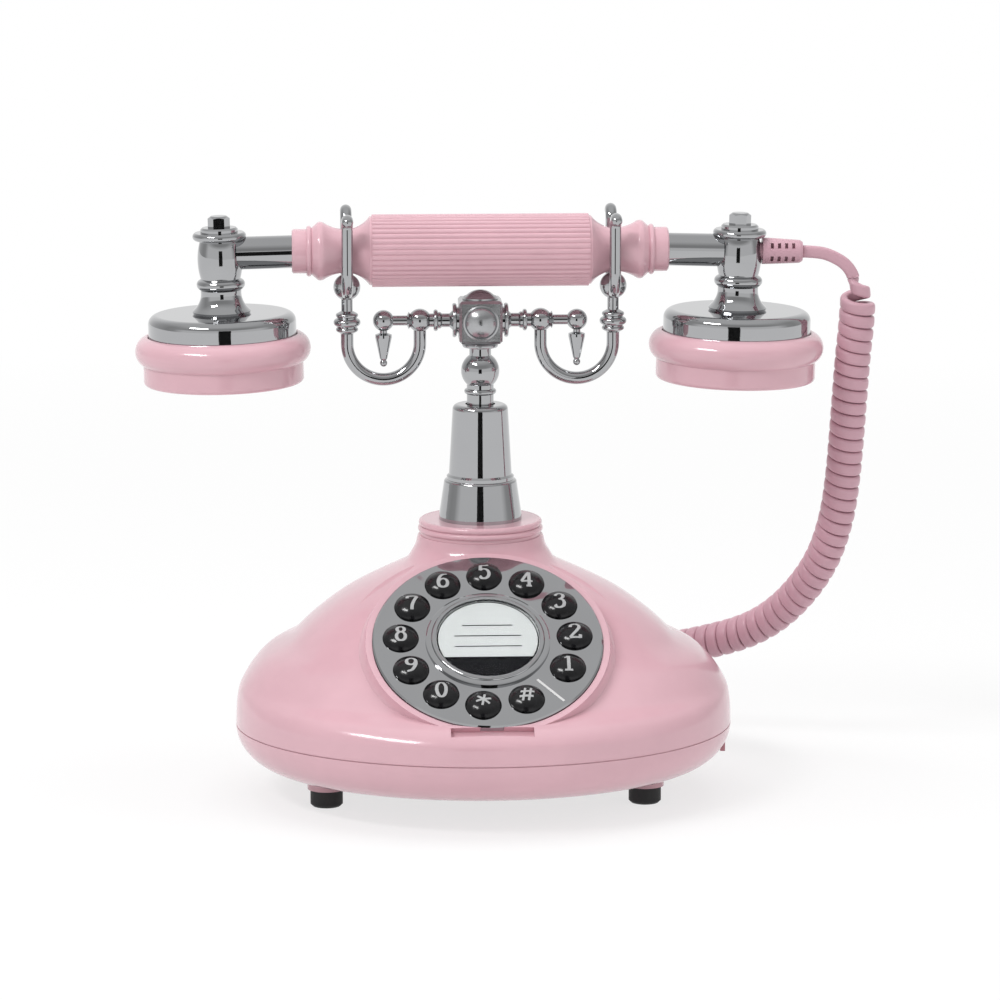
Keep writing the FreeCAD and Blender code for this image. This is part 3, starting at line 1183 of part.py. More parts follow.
def handle_grip():
    """Fluted pink barrel of the handset: round ridges all the way round, over a plain bore."""
    edges = []
    step = 2 * math.pi / FLUTE_COUNT
    valley_r = GRIP_R - FLUTE_DEPTH

    def on_section(radius, turn):
        return vec(-GRIP_HALF, radius * math.cos(turn), radius * math.sin(turn))

    for k in range(FLUTE_COUNT):
        edges.append(Part.Arc(on_section(valley_r, k * step), on_section(GRIP_R, (k + 0.5) * step),
                              on_section(valley_r, (k + 1) * step)).toShape())
    barrel = Part.Face(Part.Wire(edges)).extrude(X_AXIS * 2 * GRIP_HALF)
    barrel = barrel.cut(rod(GRIP_BORE_R, 2 * GRIP_HALF, vec(-GRIP_HALF, 0, 0), X_AXIS))
    return placed(barrel, FreeCAD.Placement(HANDSET_AXIS, FreeCAD.Rotation()))


def handle_collar():
    """Right-hand end of the handle: flare, neck for the fork, bulb and a plain sleeve for the arm tube."""
    flare_r = GRIP_R - FLUTE_DEPTH - COLLAR_FLARE_STEP
    flare_x = GRIP_HALF + COLLAR_FLARE_BAND
    neck_x = FORK_X - HANDLE_NECK_HALF
    neck_end_x = FORK_X + HANDLE_NECK_HALF
    bulb_edge_r = COLLAR_BULB_R - COLLAR_BULB_STEP
    bulb_x = COLLAR_BULB_X - COLLAR_BULB_HALF
    bead_x = COLLAR_STEP_X - COLLAR_BEAD_HALF
    bead_edge_r = COLLAR_END_R + COLLAR_BEAD_STEP
    spigot_x = GRIP_HALF - COLLAR_SPIGOT
    spigot_r = GRIP_BORE_R - SLIP
    outline = [
        (0, spigot_x), (spigot_r, spigot_x), (spigot_r, GRIP_HALF), (flare_r, GRIP_HALF), (flare_r, flare_x),
        (HANDLE_NECK_R + COLLAR_FLARE_SAG, (flare_x + neck_x) / 2, HANDLE_NECK_R, neck_x),
        (HANDLE_NECK_R, neck_end_x),
        ((HANDLE_NECK_R + bulb_edge_r) / 2 - COLLAR_FLANK_SAG, (neck_end_x + bulb_x) / 2, bulb_edge_r,
         bulb_x),
        (COLLAR_BULB_R, COLLAR_BULB_X, bulb_edge_r, COLLAR_BULB_X + COLLAR_BULB_HALF),
        (bead_edge_r, bead_x - COLLAR_BEAD_HALF),
        (COLLAR_END_R + COLLAR_BEAD, bead_x, bead_edge_r, COLLAR_STEP_X),
        (COLLAR_END_R, COLLAR_STEP_X), (COLLAR_END_R, COLLAR_END_X - COLLAR_END_EDGE),
        (COLLAR_END_R - COLLAR_END_EDGE, COLLAR_END_X), (0, COLLAR_END_X)]
    body = lathe(outline, HANDSET_AXIS, X_AXIS)
    bore_x = COLLAR_END_X - TUBE_DEPTH
    return body.cut(canted(rod(TUBE_R + FIT, TUBE_DEPTH + WALL, HANDSET_AXIS + vec(bore_x, 0, 0), X_AXIS)))


def arm_tube():
    """Right-hand chrome tube from the collar's sleeve into the post."""
    start = COLLAR_END_X - TUBE_DEPTH + SLIP
    return canted(rod(TUBE_R, POST_X - TUBE_R - start, HANDSET_AXIS + vec(start, 0, 0), X_AXIS))


POST_CENTRE = HANDSET_AXIS + FreeCAD.Vector(POST_X, 0, 0)


def post():
    """Right-hand turned chrome post: nut seat, flange, belly, bead, flared foot and a stud into the cup."""
    edge = POST_EDGE
    flange_top = POST_RISE - POST_SEAT_HEIGHT
    flange_low = flange_top - 2 * POST_FLANGE_HALF
    flange_edge_r = POST_FLANGE_R - POST_FLANGE_STEP
    belly_top = flange_low - edge
    belly_edge_r = POST_BELLY_R - POST_BELLY_STEP
    bead_top = -POST_BELLY_DROP - edge
    bead_low = bead_top - 2 * POST_BEAD_HALF
    bead_edge_r = POST_BEAD_R - POST_BEAD_STEP
    foot_edge = POST_FOOT_EDGE
    stud_end = -POST_DROP - POST_STUD_LENGTH
    outline = [
        (0, POST_RISE), (POST_SEAT_R - edge, POST_RISE), (POST_SEAT_R, POST_RISE - edge),
        (POST_SEAT_R, flange_top),
        (flange_edge_r, flange_top), (POST_FLANGE_R, (flange_top + flange_low) / 2, flange_edge_r,
                                      flange_low),
        (belly_edge_r, belly_top),
        (POST_BELLY_R, (belly_top - POST_BELLY_DROP) / 2, belly_edge_r, -POST_BELLY_DROP),
        (bead_edge_r, bead_top),
        (POST_BEAD_R, (bead_top + bead_low) / 2, bead_edge_r, bead_low), (POST_WAIST_R, bead_low - edge),
        (POST_FLARE_R, -POST_FLARE_DROP, POST_FOOT_R - foot_edge, -POST_DROP + 2 * foot_edge),
        (POST_FOOT_R, -POST_DROP + foot_edge), (POST_FOOT_R - foot_edge / 2, -POST_DROP),
        (POST_STUD_R, -POST_DROP), (POST_STUD_R, stud_end), (0, stud_end)]
    body = lathe(outline, POST_CENTRE)
    body = body.cut(rod(TUBE_R + FIT, POST_X, POST_CENTRE + vec(-TUBE_R, 0, 0), X_AXIS * -1))
    return canted(body)


def post_nut():
    """Right-hand hexagon nut on top of the post, with a turned-down top edge."""
    foot = POST_CENTRE + vec(0, 0, POST_RISE)
    corner_r = NUT_POST_ACROSS / math.sqrt(3)
    blank = hex_prism(NUT_POST_ACROSS, NUT_POST_HEIGHT, foot)
    bevel_h = NUT_POST_HEIGHT - NUT_POST_BEVEL
    crown = lathe([(0, 0), (1.2 * corner_r, 0), (1.2 * corner_r, bevel_h),
                   (NUT_POST_ACROSS / 2 - NUT_POST_CROWN, NUT_POST_HEIGHT), (0, NUT_POST_HEIGHT)], foot)
    return canted(blank.common(crown))


CUP_TOP_H = -POST_DROP
CUP_SIDE_H = CUP_TOP_H - CUP_SIDE
CUP_END_H = CUP_SIDE_H - CUP_SKIRT
CAP_FACE_H = CUP_TOP_H - CAP_FACE_DROP
CAP_INSIDE_H = CAP_FACE_H + CAP_DISH + CAP_FACE_THICK
CAP_ROLL_H = CUP_SIDE_H - CAP_ROLL_R / 2


def cup():
    """Right-hand chrome cup: flat top with a rounded edge, open below, with a skirt inside the cap."""
    roll = CUP_EDGE_R * (1 - math.sqrt(0.5))
    inner_r = CUP_R - CUP_WALL
    body = lathe([
        (0, CUP_TOP_H), (CUP_R - CUP_EDGE_R, CUP_TOP_H),
        (CUP_R - roll, CUP_TOP_H - roll, CUP_R, CUP_TOP_H - CUP_EDGE_R), (CUP_R, CUP_END_H),
        (inner_r, CUP_END_H),
        (inner_r, CUP_TOP_H - CUP_EDGE_R), (inner_r - CUP_EDGE_R + CUP_WALL, CUP_TOP_H - CUP_WALL),
        (0, CUP_TOP_H - CUP_WALL)], POST_CENTRE)
    stud_hole = rod(POST_STUD_R + FIT, 2 * CUP_WALL, POST_CENTRE + vec(0, 0, CUP_TOP_H - 1.5 * CUP_WALL))
    return canted(body.cut(stud_hole))


def sound_holes(rings):
    """Round holes through the cap's face, on rings of (radius, count)."""
    holes = []
    for ring_r, count in rings:
        for k in range(count):
            turn = 2 * math.pi * k / count
            foot = POST_CENTRE + vec(ring_r * math.cos(turn), ring_r * math.sin(turn),
                                     CAP_FACE_H - CAP_FACE_THICK)
            holes.append(rod(SOUND_HOLE_R, 3 * CAP_FACE_THICK, foot))
    return holes


def cap(rings):
    """Right-hand pink cap: fat rolled rim over the cup's skirt, a plain band and a dished face with holes."""
    bore_r = CUP_R + SLIP
    roll_centre_r = CAP_R - CAP_ROLL_R
    band_top = CAP_ROLL_H - math.sqrt(CAP_ROLL_R ** 2 - (CAP_BAND_R - roll_centre_r) ** 2)
    lip_r = bore_r + CAP_LIP
    lip_h = CAP_ROLL_H + math.sqrt(CAP_ROLL_R ** 2 - (lip_r - roll_centre_r) ** 2)
    edge = CAP_EDGE_R
    edge_mid = edge * (1 - math.sqrt(0.5))
    rim_r = CAP_BAND_R - CAP_FACE_RIM
    ledge_h = CUP_END_H - LOOSE
    ledge_r = bore_r - CUP_WALL - CAP_LEDGE
    body = lathe([
        (0, CAP_FACE_H + CAP_DISH), (rim_r - CAP_FACE_SLANT, CAP_FACE_H + CAP_FACE_STEP), (rim_r, CAP_FACE_H),
        (CAP_BAND_R - edge, CAP_FACE_H), (CAP_BAND_R - edge_mid, CAP_FACE_H + edge_mid, CAP_BAND_R,
                                          CAP_FACE_H + edge),
        (CAP_BAND_R, band_top), (CAP_R, CAP_ROLL_H, lip_r, lip_h), (bore_r, lip_h - CAP_LIP),
        (bore_r, ledge_h),
        (ledge_r, ledge_h), (ledge_r, CAP_INSIDE_H), (0, CAP_INSIDE_H)], POST_CENTRE)
    return canted(body.cut(sound_holes(rings)))


EAR_RINGS = [(0, 1), (5.0, 6), (10.0, 12)]
MOUTH_RINGS = [(0, 1), (4.5, 6)]


def capsule(radius, height):
    """Right-hand round sound capsule that lies on the inside of the cap's face."""
    back_h = CAP_INSIDE_H + height
    return canted(lathe([
        (0, CAP_INSIDE_H), (radius, CAP_INSIDE_H), (radius, CAP_INSIDE_H + 0.6 * height),
        (0.8 * radius, back_h),
        (0, back_h)], POST_CENTRE))


BOOT_START_X = POST_X + POST_BELLY_R + SLIP


def cord_boot():
    """Slotted strain relief of the cord, with a spigot in the mouth post's side."""
    spigot_x = BOOT_START_X - BOOT_SPIGOT
    end_x = BOOT_START_X + BOOT_LENGTH
    boot = lathe([
        (0, spigot_x), (BOOT_SPIGOT_R, spigot_x), (BOOT_SPIGOT_R, BOOT_START_X), (BOOT_ROOT_R, BOOT_START_X),
        (BOOT_ROOT_R, BOOT_START_X + BOOT_ROOT_BAND), (BOOT_TIP_R, end_x - BOOT_TIP_BAND),
        (BOOT_TIP_R - BOOT_TIP_EDGE, end_x), (0, end_x)], HANDSET_AXIS, X_AXIS)
    slot_pitch = (BOOT_LENGTH - BOOT_SLOT_START - BOOT_SLOT_END) / BOOT_SLOTS
    for k in range(BOOT_SLOTS):
        x0 = BOOT_START_X + BOOT_SLOT_START + k * slot_pitch
        x1 = x0 + BOOT_SLOT_WIDTH
        for z0 in (HANDSET_Z + BOOT_SLOT_RISE, HANDSET_Z - BOOT_SLOT_RISE - BOOT_SLOT_HEIGHT):
            z1 = z0 + BOOT_SLOT_HEIGHT
            boot = boot.cut(box(x0, x1, PILLAR_Y - BOOT_ROOT_R, PILLAR_Y - BOOT_CORE_R, z0, z1))
            boot = boot.cut(box(x0, x1, PILLAR_Y + BOOT_CORE_R, PILLAR_Y + BOOT_ROOT_R, z0, z1))
    return canted(boot)


def boot_socket():
    """Space for the boot's spigot in the mouth post."""
    return canted(rod(BOOT_SPIGOT_R + FIT, BOOT_SPIGOT + WALL,
                      HANDSET_AXIS + vec(BOOT_START_X - BOOT_SPIGOT, 0, 0),
                      X_AXIS))


def biarc_edges(points, tangents):
    """Join points with pairs of arcs that follow a unit tangent at each point."""
    edges = []
    for k in range(len(points) - 1):
        chord = points[k + 1] - points[k]
        both = tangents[k] + tangents[k + 1]
        spread = 2 * (1 - tangents[k].dot(tangents[k + 1]))
        along = chord.dot(both)
        if spread < 1e-9:
            reach = chord.dot(chord) / (2 * along)
        else:
            reach = (-along + math.sqrt(along ** 2 + spread * chord.dot(chord))) / spread
        first_corner = points[k] + tangents[k] * reach
        second_corner = points[k + 1] - tangents[k + 1] * reach
        join = (first_corner + second_corner) * 0.5
        edges.append(arc_by_corner(points[k], first_corner, join))
        edges.append(arc_by_corner(join, second_corner, points[k + 1]))
    return edges


def arc_by_corner(start, corner, end):
    """Give the arc from start to end whose end tangents meet in a corner."""
    into = (corner - start).normalize()
    chord = (end - start).normalize()
    weight = into.dot(chord)
    middle = (start + corner * (2 * weight) + end) * (1 / (2 + 2 * weight))
    if (middle - (start + end) * 0.5).Length < 1e-7:
        return Part.LineSegment(start, end).toShape()
    return Part.Arc(start, middle, end).toShape()


def cord_axis():
    """Give the cord's smooth line: a quadratic spline with the route's points as control points."""
    boot_end = canted(Part.Vertex(HANDSET_AXIS + vec(BOOT_START_X + BOOT_LENGTH + SLIP, 0, 0))).Point
    way = vec(math.cos(math.radians(ARM_CANT)), 0, -math.sin(math.radians(ARM_CANT)))
    plug_end = vec(JACK_X, PLUG_END_Y + SLIP, JACK_MID_Z)
    poles = [boot_end, boot_end + way * CORD_LEAD] + [vec(x, y, z) for x, y, z in CORD_ROUTE]
    poles += [plug_end + Y_AXIS * 2 * CORD_LEAD, plug_end]
    spans = len(poles) - 2
    axis = Part.BSplineCurve()
    axis.buildFromPolesMultsKnots(poles, [3] + [1] * (spans - 1) + [3], list(range(spans + 1)), False, 2)
    return axis


def curl_turns(place):
    """Give the turns made at a place along the cord's line: they gather speed over the end stretches."""
    run = CURL_COUNT * CURL_PITCH + CURL_EASE
    into = min(max(place - CURL_START, 0), run)
    if into < CURL_EASE:
        return into ** 2 / (2 * CURL_EASE * CURL_PITCH)
    if into > run - CURL_EASE:
        return CURL_COUNT - (run - into) ** 2 / (2 * CURL_EASE * CURL_PITCH)
    return (into - CURL_EASE / 2) / CURL_PITCH


def curl_swell(place):
    """Give the curls' radius at a place along the cord's line: it grows and shrinks near the ends."""
    run = CURL_COUNT * CURL_PITCH + CURL_EASE
    into = min(max(place - CURL_START, 0), run)
    share = min(into, run - into, CURL_EASE) / CURL_EASE
    return CURL_R * math.sin(math.pi / 2 * share) ** 2


def handset_cord():
    """Curly handset cord, as one tube: a lead from the boot, the curls, and a lead to the plug."""
    axis = cord_axis()
    length = axis.length()
    stations = 40 * CURL_COUNT
    line = [axis.value(axis.parameterAtDistance(length * k / stations)) for k in range(stations + 1)]
    ways = [(line[min(k + 1, stations)] - line[max(k - 1, 0)]).normalize() for k in range(stations + 1)]
    side = [Y_AXIS.cross(ways[0]).normalize()]
    for k in range(1, stations + 1):
        carried = side[-1] - ways[k] * side[-1].dot(ways[k])
        side.append(carried.normalize())

    def wire_point(place):
        spot = min(max(place / length * stations, 0), stations - 1e-9)
        k = int(spot)
        part = spot - k
        centre = line[k] * (1 - part) + line[k + 1] * part
        way = (ways[k] * (1 - part) + ways[k + 1] * part).normalize()
        across = side[k] * (1 - part) + side[k + 1] * part
        across = (across - way * across.dot(way)).normalize()
        up = way.cross(across)
        turn = 2 * math.pi * curl_turns(place)
        swell = curl_swell(place)
        return centre + across * (swell * math.cos(turn)) + up * (swell * math.sin(turn))

    def even(start, end, count):
        return [start + (end - start) * k / count for k in range(count)]

    curl_low = CURL_START + CURL_EASE
    curl_high = CURL_START + CURL_COUNT * CURL_PITCH
    curl_end = curl_high + CURL_EASE
    straight = 2 * CORD_R
    half_turns = 2 * round((curl_high - curl_low) / CURL_PITCH)
    stops = even(straight, CURL_START, 4) + even(CURL_START, curl_low, 4) + even(curl_low, curl_high,
                                                                                 half_turns)
    stops += even(curl_high, curl_end, 4) + even(curl_end, length - straight, 8) + [length - straight]
    points = [wire_point(stop) for stop in stops]
    tangents = [(wire_point(stop + 0.02) - wire_point(stop - 0.02)).normalize() for stop in stops]
    tangents[0] = (points[0] - line[0]).normalize()
    tangents[-1] = (line[-1] - points[-1]).normalize()
    edges = [Part.LineSegment(line[0], points[0]).toShape()] + biarc_edges(points, tangents)
    edges.append(Part.LineSegment(points[-1], line[-1]).toShape())
    tube = bent_rod(CORD_R, edges)
    report_cord(tube, edges)
    return tube


def report_cord(tube, edges):
    """Print the cord's length, tightest bend, least gap to itself, and its volume's share of the ideal."""
    length = sum(edge.Length for edge in edges)
    radii = [edge.Curve.Radius for edge in edges if hasattr(edge.Curve, "Radius")]
    samples = []
    run = 0.0
    for edge in edges:
        steps = max(2, int(edge.Length / 0.8))
        span = edge.LastParameter - edge.FirstParameter
        for k in range(steps):
            samples.append((run + edge.Length * k / steps,
                            edge.valueAt(edge.FirstParameter + span * k / steps)))
        run += edge.Length
    least = 1e9
    for k, (place, point) in enumerate(samples):
        for other_place, other in samples[k + 1:k + 160]:
            if other_place - place > 4 * CURL_R:
                least = min(least, (other - point).Length)
    section = math.pi * CORD_R ** 2
    print("cord length %.1f, tightest radius %.2f, least gap to itself %.2f, volume share %.4f"
          % (length, min(radii), least - 2 * CORD_R, tube.Volume / (section * length)))


def all_parts():
    """Give every piece by its node's name: one solid, or a list of like solids."""
    right_post = post()
    right_fork = fork()
    right_hook = hook()
    right_drop = pendant_drop()
    parts = {
        "base_pan": base_pan(), "base_shell": base_shell(), "rubber_feet": rubber_feet(),
        "base_screws": base_screws(), "ballast_plate": ballast_plate(), "main_board": main_board(),
        "hook_microswitch": hook_microswitch(), "ringer_speaker": ringer_speaker(),
        "ringer_switch": ringer_switch(),
        "switch_slider": switch_slider(), "line_jack": jack(-JACK_X), "handset_jack": jack(JACK_X),
        "dial_plate": dial_plate(), "dial_bezel": dial_bezel(), "number_card": number_card(),
        "card_lens": card_lens(), "key_membrane": key_membrane(), "keypad_board": keypad_board(),
        "dial_screws": dial_screws(), "pillar_cone": pillar_cone(), "pillar_nut": pillar_nut(),
        "pillar_bush": pillar_bush(), "spring_seat": spring_seat(), "hook_spring": hook_spring(),
        "cradle_stem": cradle_stem(), "plunger_clip": plunger_clip(), "cradle_block": cradle_block(),
        "cradle_arms": [left_hand(cradle_arm()), cradle_arm()],
        "pendant_drops": [left_hand(right_drop), right_drop],
        "hook_left": left_hand(right_hook), "hook_right": right_hook,
        "fork_left": left_hand(right_fork), "fork_right": right_fork,
        "handle_grip": handle_grip(), "handle_collars": [left_hand(handle_collar()), handle_collar()],
        "arm_tubes": [left_hand(arm_tube()), arm_tube()],
        "ear_post": left_hand(right_post), "mouth_post": right_post.cut(boot_socket()),
        "post_nuts": [left_hand(post_nut()), post_nut()],
        "ear_cup": left_hand(cup()), "mouth_cup": cup(),
        "ear_cap": left_hand(cap(EAR_RINGS)), "mouth_cap": cap(MOUTH_RINGS),
        "receiver_capsule": left_hand(capsule(RECEIVER_R, RECEIVER_HEIGHT)),
        "microphone_capsule": capsule(MICROPHONE_R, MICROPHONE_HEIGHT),
        "cord_boot": cord_boot(), "cord_plug": cord_plug(), "handset_cord": handset_cord(),
    }
    for name, x, y in key_places():
        parts[name] = key(x, y)
    return parts


os.makedirs("parts", exist_ok=True)
for node, shape in all_parts().items():
    solids = shape if isinstance(shape, list) else [shape]
    whole = Part.makeCompound([solid for piece in solids for solid in piece.Solids])
    if not whole.isValid():
        print("not valid:", node)
    if len(whole.Solids) != len(solids):
        print("solids:", node, len(whole.Solids), "instead of", len(solids))
    (whole.Solids[0] if len(whole.Solids) == 1 else whole).exportStep("parts/%s.step" % node)
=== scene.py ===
import math
import bpy
import numpy as np
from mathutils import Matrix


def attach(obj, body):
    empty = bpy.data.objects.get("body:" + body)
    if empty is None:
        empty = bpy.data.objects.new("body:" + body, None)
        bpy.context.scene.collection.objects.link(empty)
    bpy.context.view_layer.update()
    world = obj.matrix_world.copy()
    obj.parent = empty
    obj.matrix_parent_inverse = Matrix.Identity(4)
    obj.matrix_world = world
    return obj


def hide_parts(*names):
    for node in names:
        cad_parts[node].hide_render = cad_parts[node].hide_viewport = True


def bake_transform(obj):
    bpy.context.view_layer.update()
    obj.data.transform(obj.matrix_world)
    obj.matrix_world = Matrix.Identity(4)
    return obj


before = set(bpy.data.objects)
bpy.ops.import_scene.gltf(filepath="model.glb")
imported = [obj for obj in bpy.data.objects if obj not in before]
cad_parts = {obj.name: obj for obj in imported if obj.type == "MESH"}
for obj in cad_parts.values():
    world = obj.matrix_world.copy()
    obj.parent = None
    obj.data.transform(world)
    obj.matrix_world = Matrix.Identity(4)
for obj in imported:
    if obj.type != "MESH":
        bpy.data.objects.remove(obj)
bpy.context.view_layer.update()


# Base: an oval pan and a bell-shaped upper moulding in glossy pink plastic.
# The two are pressed together along a seam and screwed from below.
# The moulded skin has a faint grain, slow drifts of tint and the haze of handling.
MM = 0.001
PINK = (0.665, 0.407, 0.460, 1.0)
RELIEF_DEPTH = 0.2 * MM
DRIFT_LOW = 0.3
DRIFT_HIGH = 0.7


def shader_group(name, inputs, outputs):
    """Start a shader node group with named value inputs, each with its default, and named value outputs."""
    tree = bpy.data.node_groups.new(name, "ShaderNodeTree")
    for label, default in inputs.items():
        socket = tree.interface.new_socket(label, in_out="INPUT", socket_type="NodeSocketFloat")
        socket.default_value = default
    for label in outputs:
        tree.interface.new_socket(label, in_out="OUTPUT", socket_type="NodeSocketFloat")
    return tree, tree.nodes.new("NodeGroupInput"), tree.nodes.new("NodeGroupOutput")


def add_node(tree, kind, links=(), **values):
    """Add a node, set its properties and sockets by name, and link (output socket, input name) pairs."""
    node = tree.nodes.new(kind)
    for label, value in values.items():
        if hasattr(node, label):
            setattr(node, label, value)
        else:
            node.inputs[label.replace("_", " ")].default_value = value
    for source, label in links:
        tree.links.new(source, node.inputs[label])
    return node


def reckon(tree, operation, first, second):
    """Add a math node on two values, each a socket or a plain number, and give its output."""
    node = add_node(tree, "ShaderNodeMath", operation=operation)
    for socket, value in zip(node.inputs, (first, second)):
        if isinstance(value, float):
            socket.default_value = value
        else:
            tree.links.new(value, socket)
    return node.outputs[0]


def handled_gloss():
    """Group for a handled surface.

    A slow noise is the drift. The roughness is the plain one plus the spread times the drift's distance from
    its middle. The height is the wave times the drift, plus a fine grain.
    """
    tree, given, result = shader_group(
        "handled_gloss",
        {"Roughness": 0.2, "Spread": 0.05, "Smudge Scale": 40.0, "Grain Scale": 1400.0, "Wave": 0.5,
         "Detail": 4.0},
        ("Roughness", "Height", "Drift"))
    asked = given.outputs
    where = add_node(tree, "ShaderNodeTexCoord").outputs["Object"]
    drift = add_node(tree, "ShaderNodeTexNoise",
                     [(where, "Vector"), (asked["Smudge Scale"], "Scale"), (asked["Detail"], "Detail")],
                     Roughness=0.6).outputs["Fac"]
    grain = add_node(tree, "ShaderNodeTexNoise", [(where, "Vector"), (asked["Grain Scale"], "Scale")],
                     Detail=1.0).outputs["Fac"]
    swing = reckon(tree, "MULTIPLY", reckon(tree, "SUBTRACT", drift, 0.5), asked["Spread"])
    rough = reckon(tree, "ADD", swing, asked["Roughness"])
    height = reckon(tree, "ADD", reckon(tree, "MULTIPLY", drift, asked["Wave"]), grain)
    for label, socket in (("Roughness", rough), ("Height", height), ("Drift", drift)):
        tree.links.new(socket, result.inputs[label])
    return tree


HANDLED_GLOSS = handled_gloss()


def finish(name, colour, roughness, spread, bump, wave=0.5, smudge_scale=40.0, grain_scale=1400.0, detail=4.0,
           drift=0.03, **plain):
    """Make a material: plain values on a Principled BSDF, and the gloss group on its roughness and normal.

    The colour goes from (1 - drift) to (1 + drift) times the given one with the group's drift, or stays plain
    where the drift is nought.
    """
    made = bpy.data.materials.new(name)
    made.use_nodes = True
    tree = made.node_tree
    shader = tree.nodes["Principled BSDF"]
    for label, value in plain.items():
        shader.inputs[label.replace("_", " ")].default_value = value
    gloss = add_node(tree, "ShaderNodeGroup", node_tree=HANDLED_GLOSS, Roughness=roughness, Spread=spread,
                     Smudge_Scale=smudge_scale, Grain_Scale=grain_scale, Wave=wave, Detail=detail)
    shader.inputs["Base Color"].default_value = colour
    if drift:
        tint = add_node(tree, "ShaderNodeValToRGB", [(gloss.outputs["Drift"], "Fac")])
        ends = ((DRIFT_LOW, 1 - drift), (DRIFT_HIGH, 1 + drift))
        for stop, (position, level) in zip(tint.color_ramp.elements, ends):
            stop.position = position
            stop.color = [min(1.0, channel * level) for channel in colour[:3]] + [1.0]
        tree.links.new(tint.outputs["Color"], shader.inputs["Base Color"])
    relief = add_node(tree, "ShaderNodeBump", [(gloss.outputs["Height"], "Height")], Strength=bump,
                      Distance=RELIEF_DEPTH)
    tree.links.new(gloss.outputs["Roughness"], shader.inputs["Roughness"])
    tree.links.new(relief.outputs["Normal"], shader.inputs["Normal"])
    return made


def dress(made, *nodes):
    """Give CAD nodes a material."""
    for node in nodes:
        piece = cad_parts[node]
        piece.data.materials.clear()
        piece.data.materials.append(made)


PINK_PLASTIC = finish("pink_plastic", PINK, roughness=0.17, spread=0.06, bump=0.02, Coat_Weight=0.25,
                      Coat_Roughness=0.06, IOR=1.5)
dress(PINK_PLASTIC, "base_pan", "base_shell")


# Feet and membrane: black rubber pads pressed on the pan's bosses, and the rubber sheet behind the keys.
# The rubber is matte with a coarse moulded grain.
BLACK_RUBBER = finish("black_rubber", (0.012, 0.012, 0.013, 1.0), roughness=0.62, spread=0.12, bump=0.35,
                      grain_scale=2600.0, drift=0.2)
dress(BLACK_RUBBER, "rubber_feet", "key_membrane")


# Steel pieces: screws, ballast, spring, clip and nut, and the cans of the speaker and the two capsules.
# All are plain zinc-plated steel, a little dull.
STEEL = finish("zinc_steel", (0.55, 0.55, 0.56, 1.0), roughness=0.34, spread=0.14, bump=0.10, Metallic=1.0)
dress(STEEL, "base_screws", "ballast_plate", "dial_screws", "pillar_nut", "spring_seat", "hook_spring",
      "plunger_clip", "ringer_speaker", "receiver_capsule", "microphone_capsule")


# Boards and switches: green lacquered circuit boards inside the base and behind the keys.
# The switches, the jacks and the pillar's bush are dark moulded plastic.
BOARD_GREEN = finish("board_green", (0.020, 0.105, 0.040, 1.0), roughness=0.38, spread=0.10, bump=0.08,
                     drift=0.12)
dress(BOARD_GREEN, "main_board", "keypad_board")
DARK_PLASTIC = finish("dark_plastic", (0.022, 0.022, 0.024, 1.0), roughness=0.42, spread=0.10, bump=0.12,
                      drift=0.1)
dress(DARK_PLASTIC, "hook_microswitch", "ringer_switch", "line_jack", "handset_jack", "pillar_bush")


# Ringer slider: a small knob in deeper rose plastic.
# It runs in a pocket in the pan's right side and moves the ringer switch behind it.
ROSE_PLASTIC = finish("rose_plastic", (0.46, 0.20, 0.235, 1.0), roughness=0.25, spread=0.06, bump=0.03,
                      IOR=1.5)
dress(ROSE_PLASTIC, "switch_slider")


# Dial: a chromed plate with a stepped ring round a paper card, under a clear lens.
# The bright plating follows the moulding's slow waves, so reflections wander a little.
# The card is printed in black, and a white line on the plate marks the end of the key ring.
CHROME_COLOUR = (0.42, 0.425, 0.435, 1.0)
CHROME = finish("bright_chrome", CHROME_COLOUR, roughness=0.045, spread=0.03, bump=0.012, wave=3.0,
                smudge_scale=90.0, drift=0.01, Metallic=1.0)
WAVY_CHROME = finish("wavy_chrome", CHROME_COLOUR, roughness=0.05, spread=0.03, bump=0.9, wave=9.0,
                     smudge_scale=60.0, grain_scale=60.0, detail=0.6, drift=0.02, Metallic=1.0)
CARD = finish("card_paper", (0.355, 0.367, 0.365, 1.0), roughness=0.55, spread=0.08, bump=0.10, drift=0.015)
CLEAR = finish("clear_lens", (0.98, 0.99, 0.99, 1.0), roughness=0.03, spread=0.01, bump=0.0, drift=0.0,
               Transmission_Weight=1.0, IOR=1.1)
PRINT_BLACK = finish("print_black", (0.004, 0.004, 0.005, 1.0), roughness=0.6, spread=0.1, bump=0.05,
                     drift=0.2, Specular_IOR_Level=0.0)
LINE_WHITE = finish("line_white", (0.62, 0.62, 0.62, 1.0), roughness=0.35, spread=0.08, bump=0.05, drift=0.02)
dress(CHROME, "dial_bezel")
dress(WAVY_CHROME, "dial_plate")
dress(CARD, "number_card")
DIAL_AT = np.array((0.0, -32.9, 60.7)) * MM
DIAL_TILT = math.radians(35.5)
DIAL_AXES = np.array([(1.0, 0.0, 0.0), (0.0, math.cos(DIAL_TILT), math.sin(DIAL_TILT)),
                      (0.0, -math.sin(DIAL_TILT), math.cos(DIAL_TILT))])
CARD_R = 17.6 * MM
CARD_TOP = 0.5 * MM
PRINT_R = 0.985 * CARD_R
PRINT_LOW = CARD_TOP + 0.01 * MM
PRINT_THICK = 0.03 * MM
RING_WIDTH = 0.35 * MM
RING_TURN = 1.9998 * math.pi
RULED_LINES = ((6.4, 8.6), (1.6, 11.4), (-3.2, 11.4))
RULE_HALF = 0.2 * MM
FOOT_CHORD = -0.457 * CARD_R
FOOT_TURN = 1.5
LENS_R = CARD_R * 0.998
LENS_THICK = 0.9 * MM
LENS_GAP = 0.08 * MM
LENS_BEVEL = 0.25 * MM
MARK_ANGLE = math.radians(-48.5)
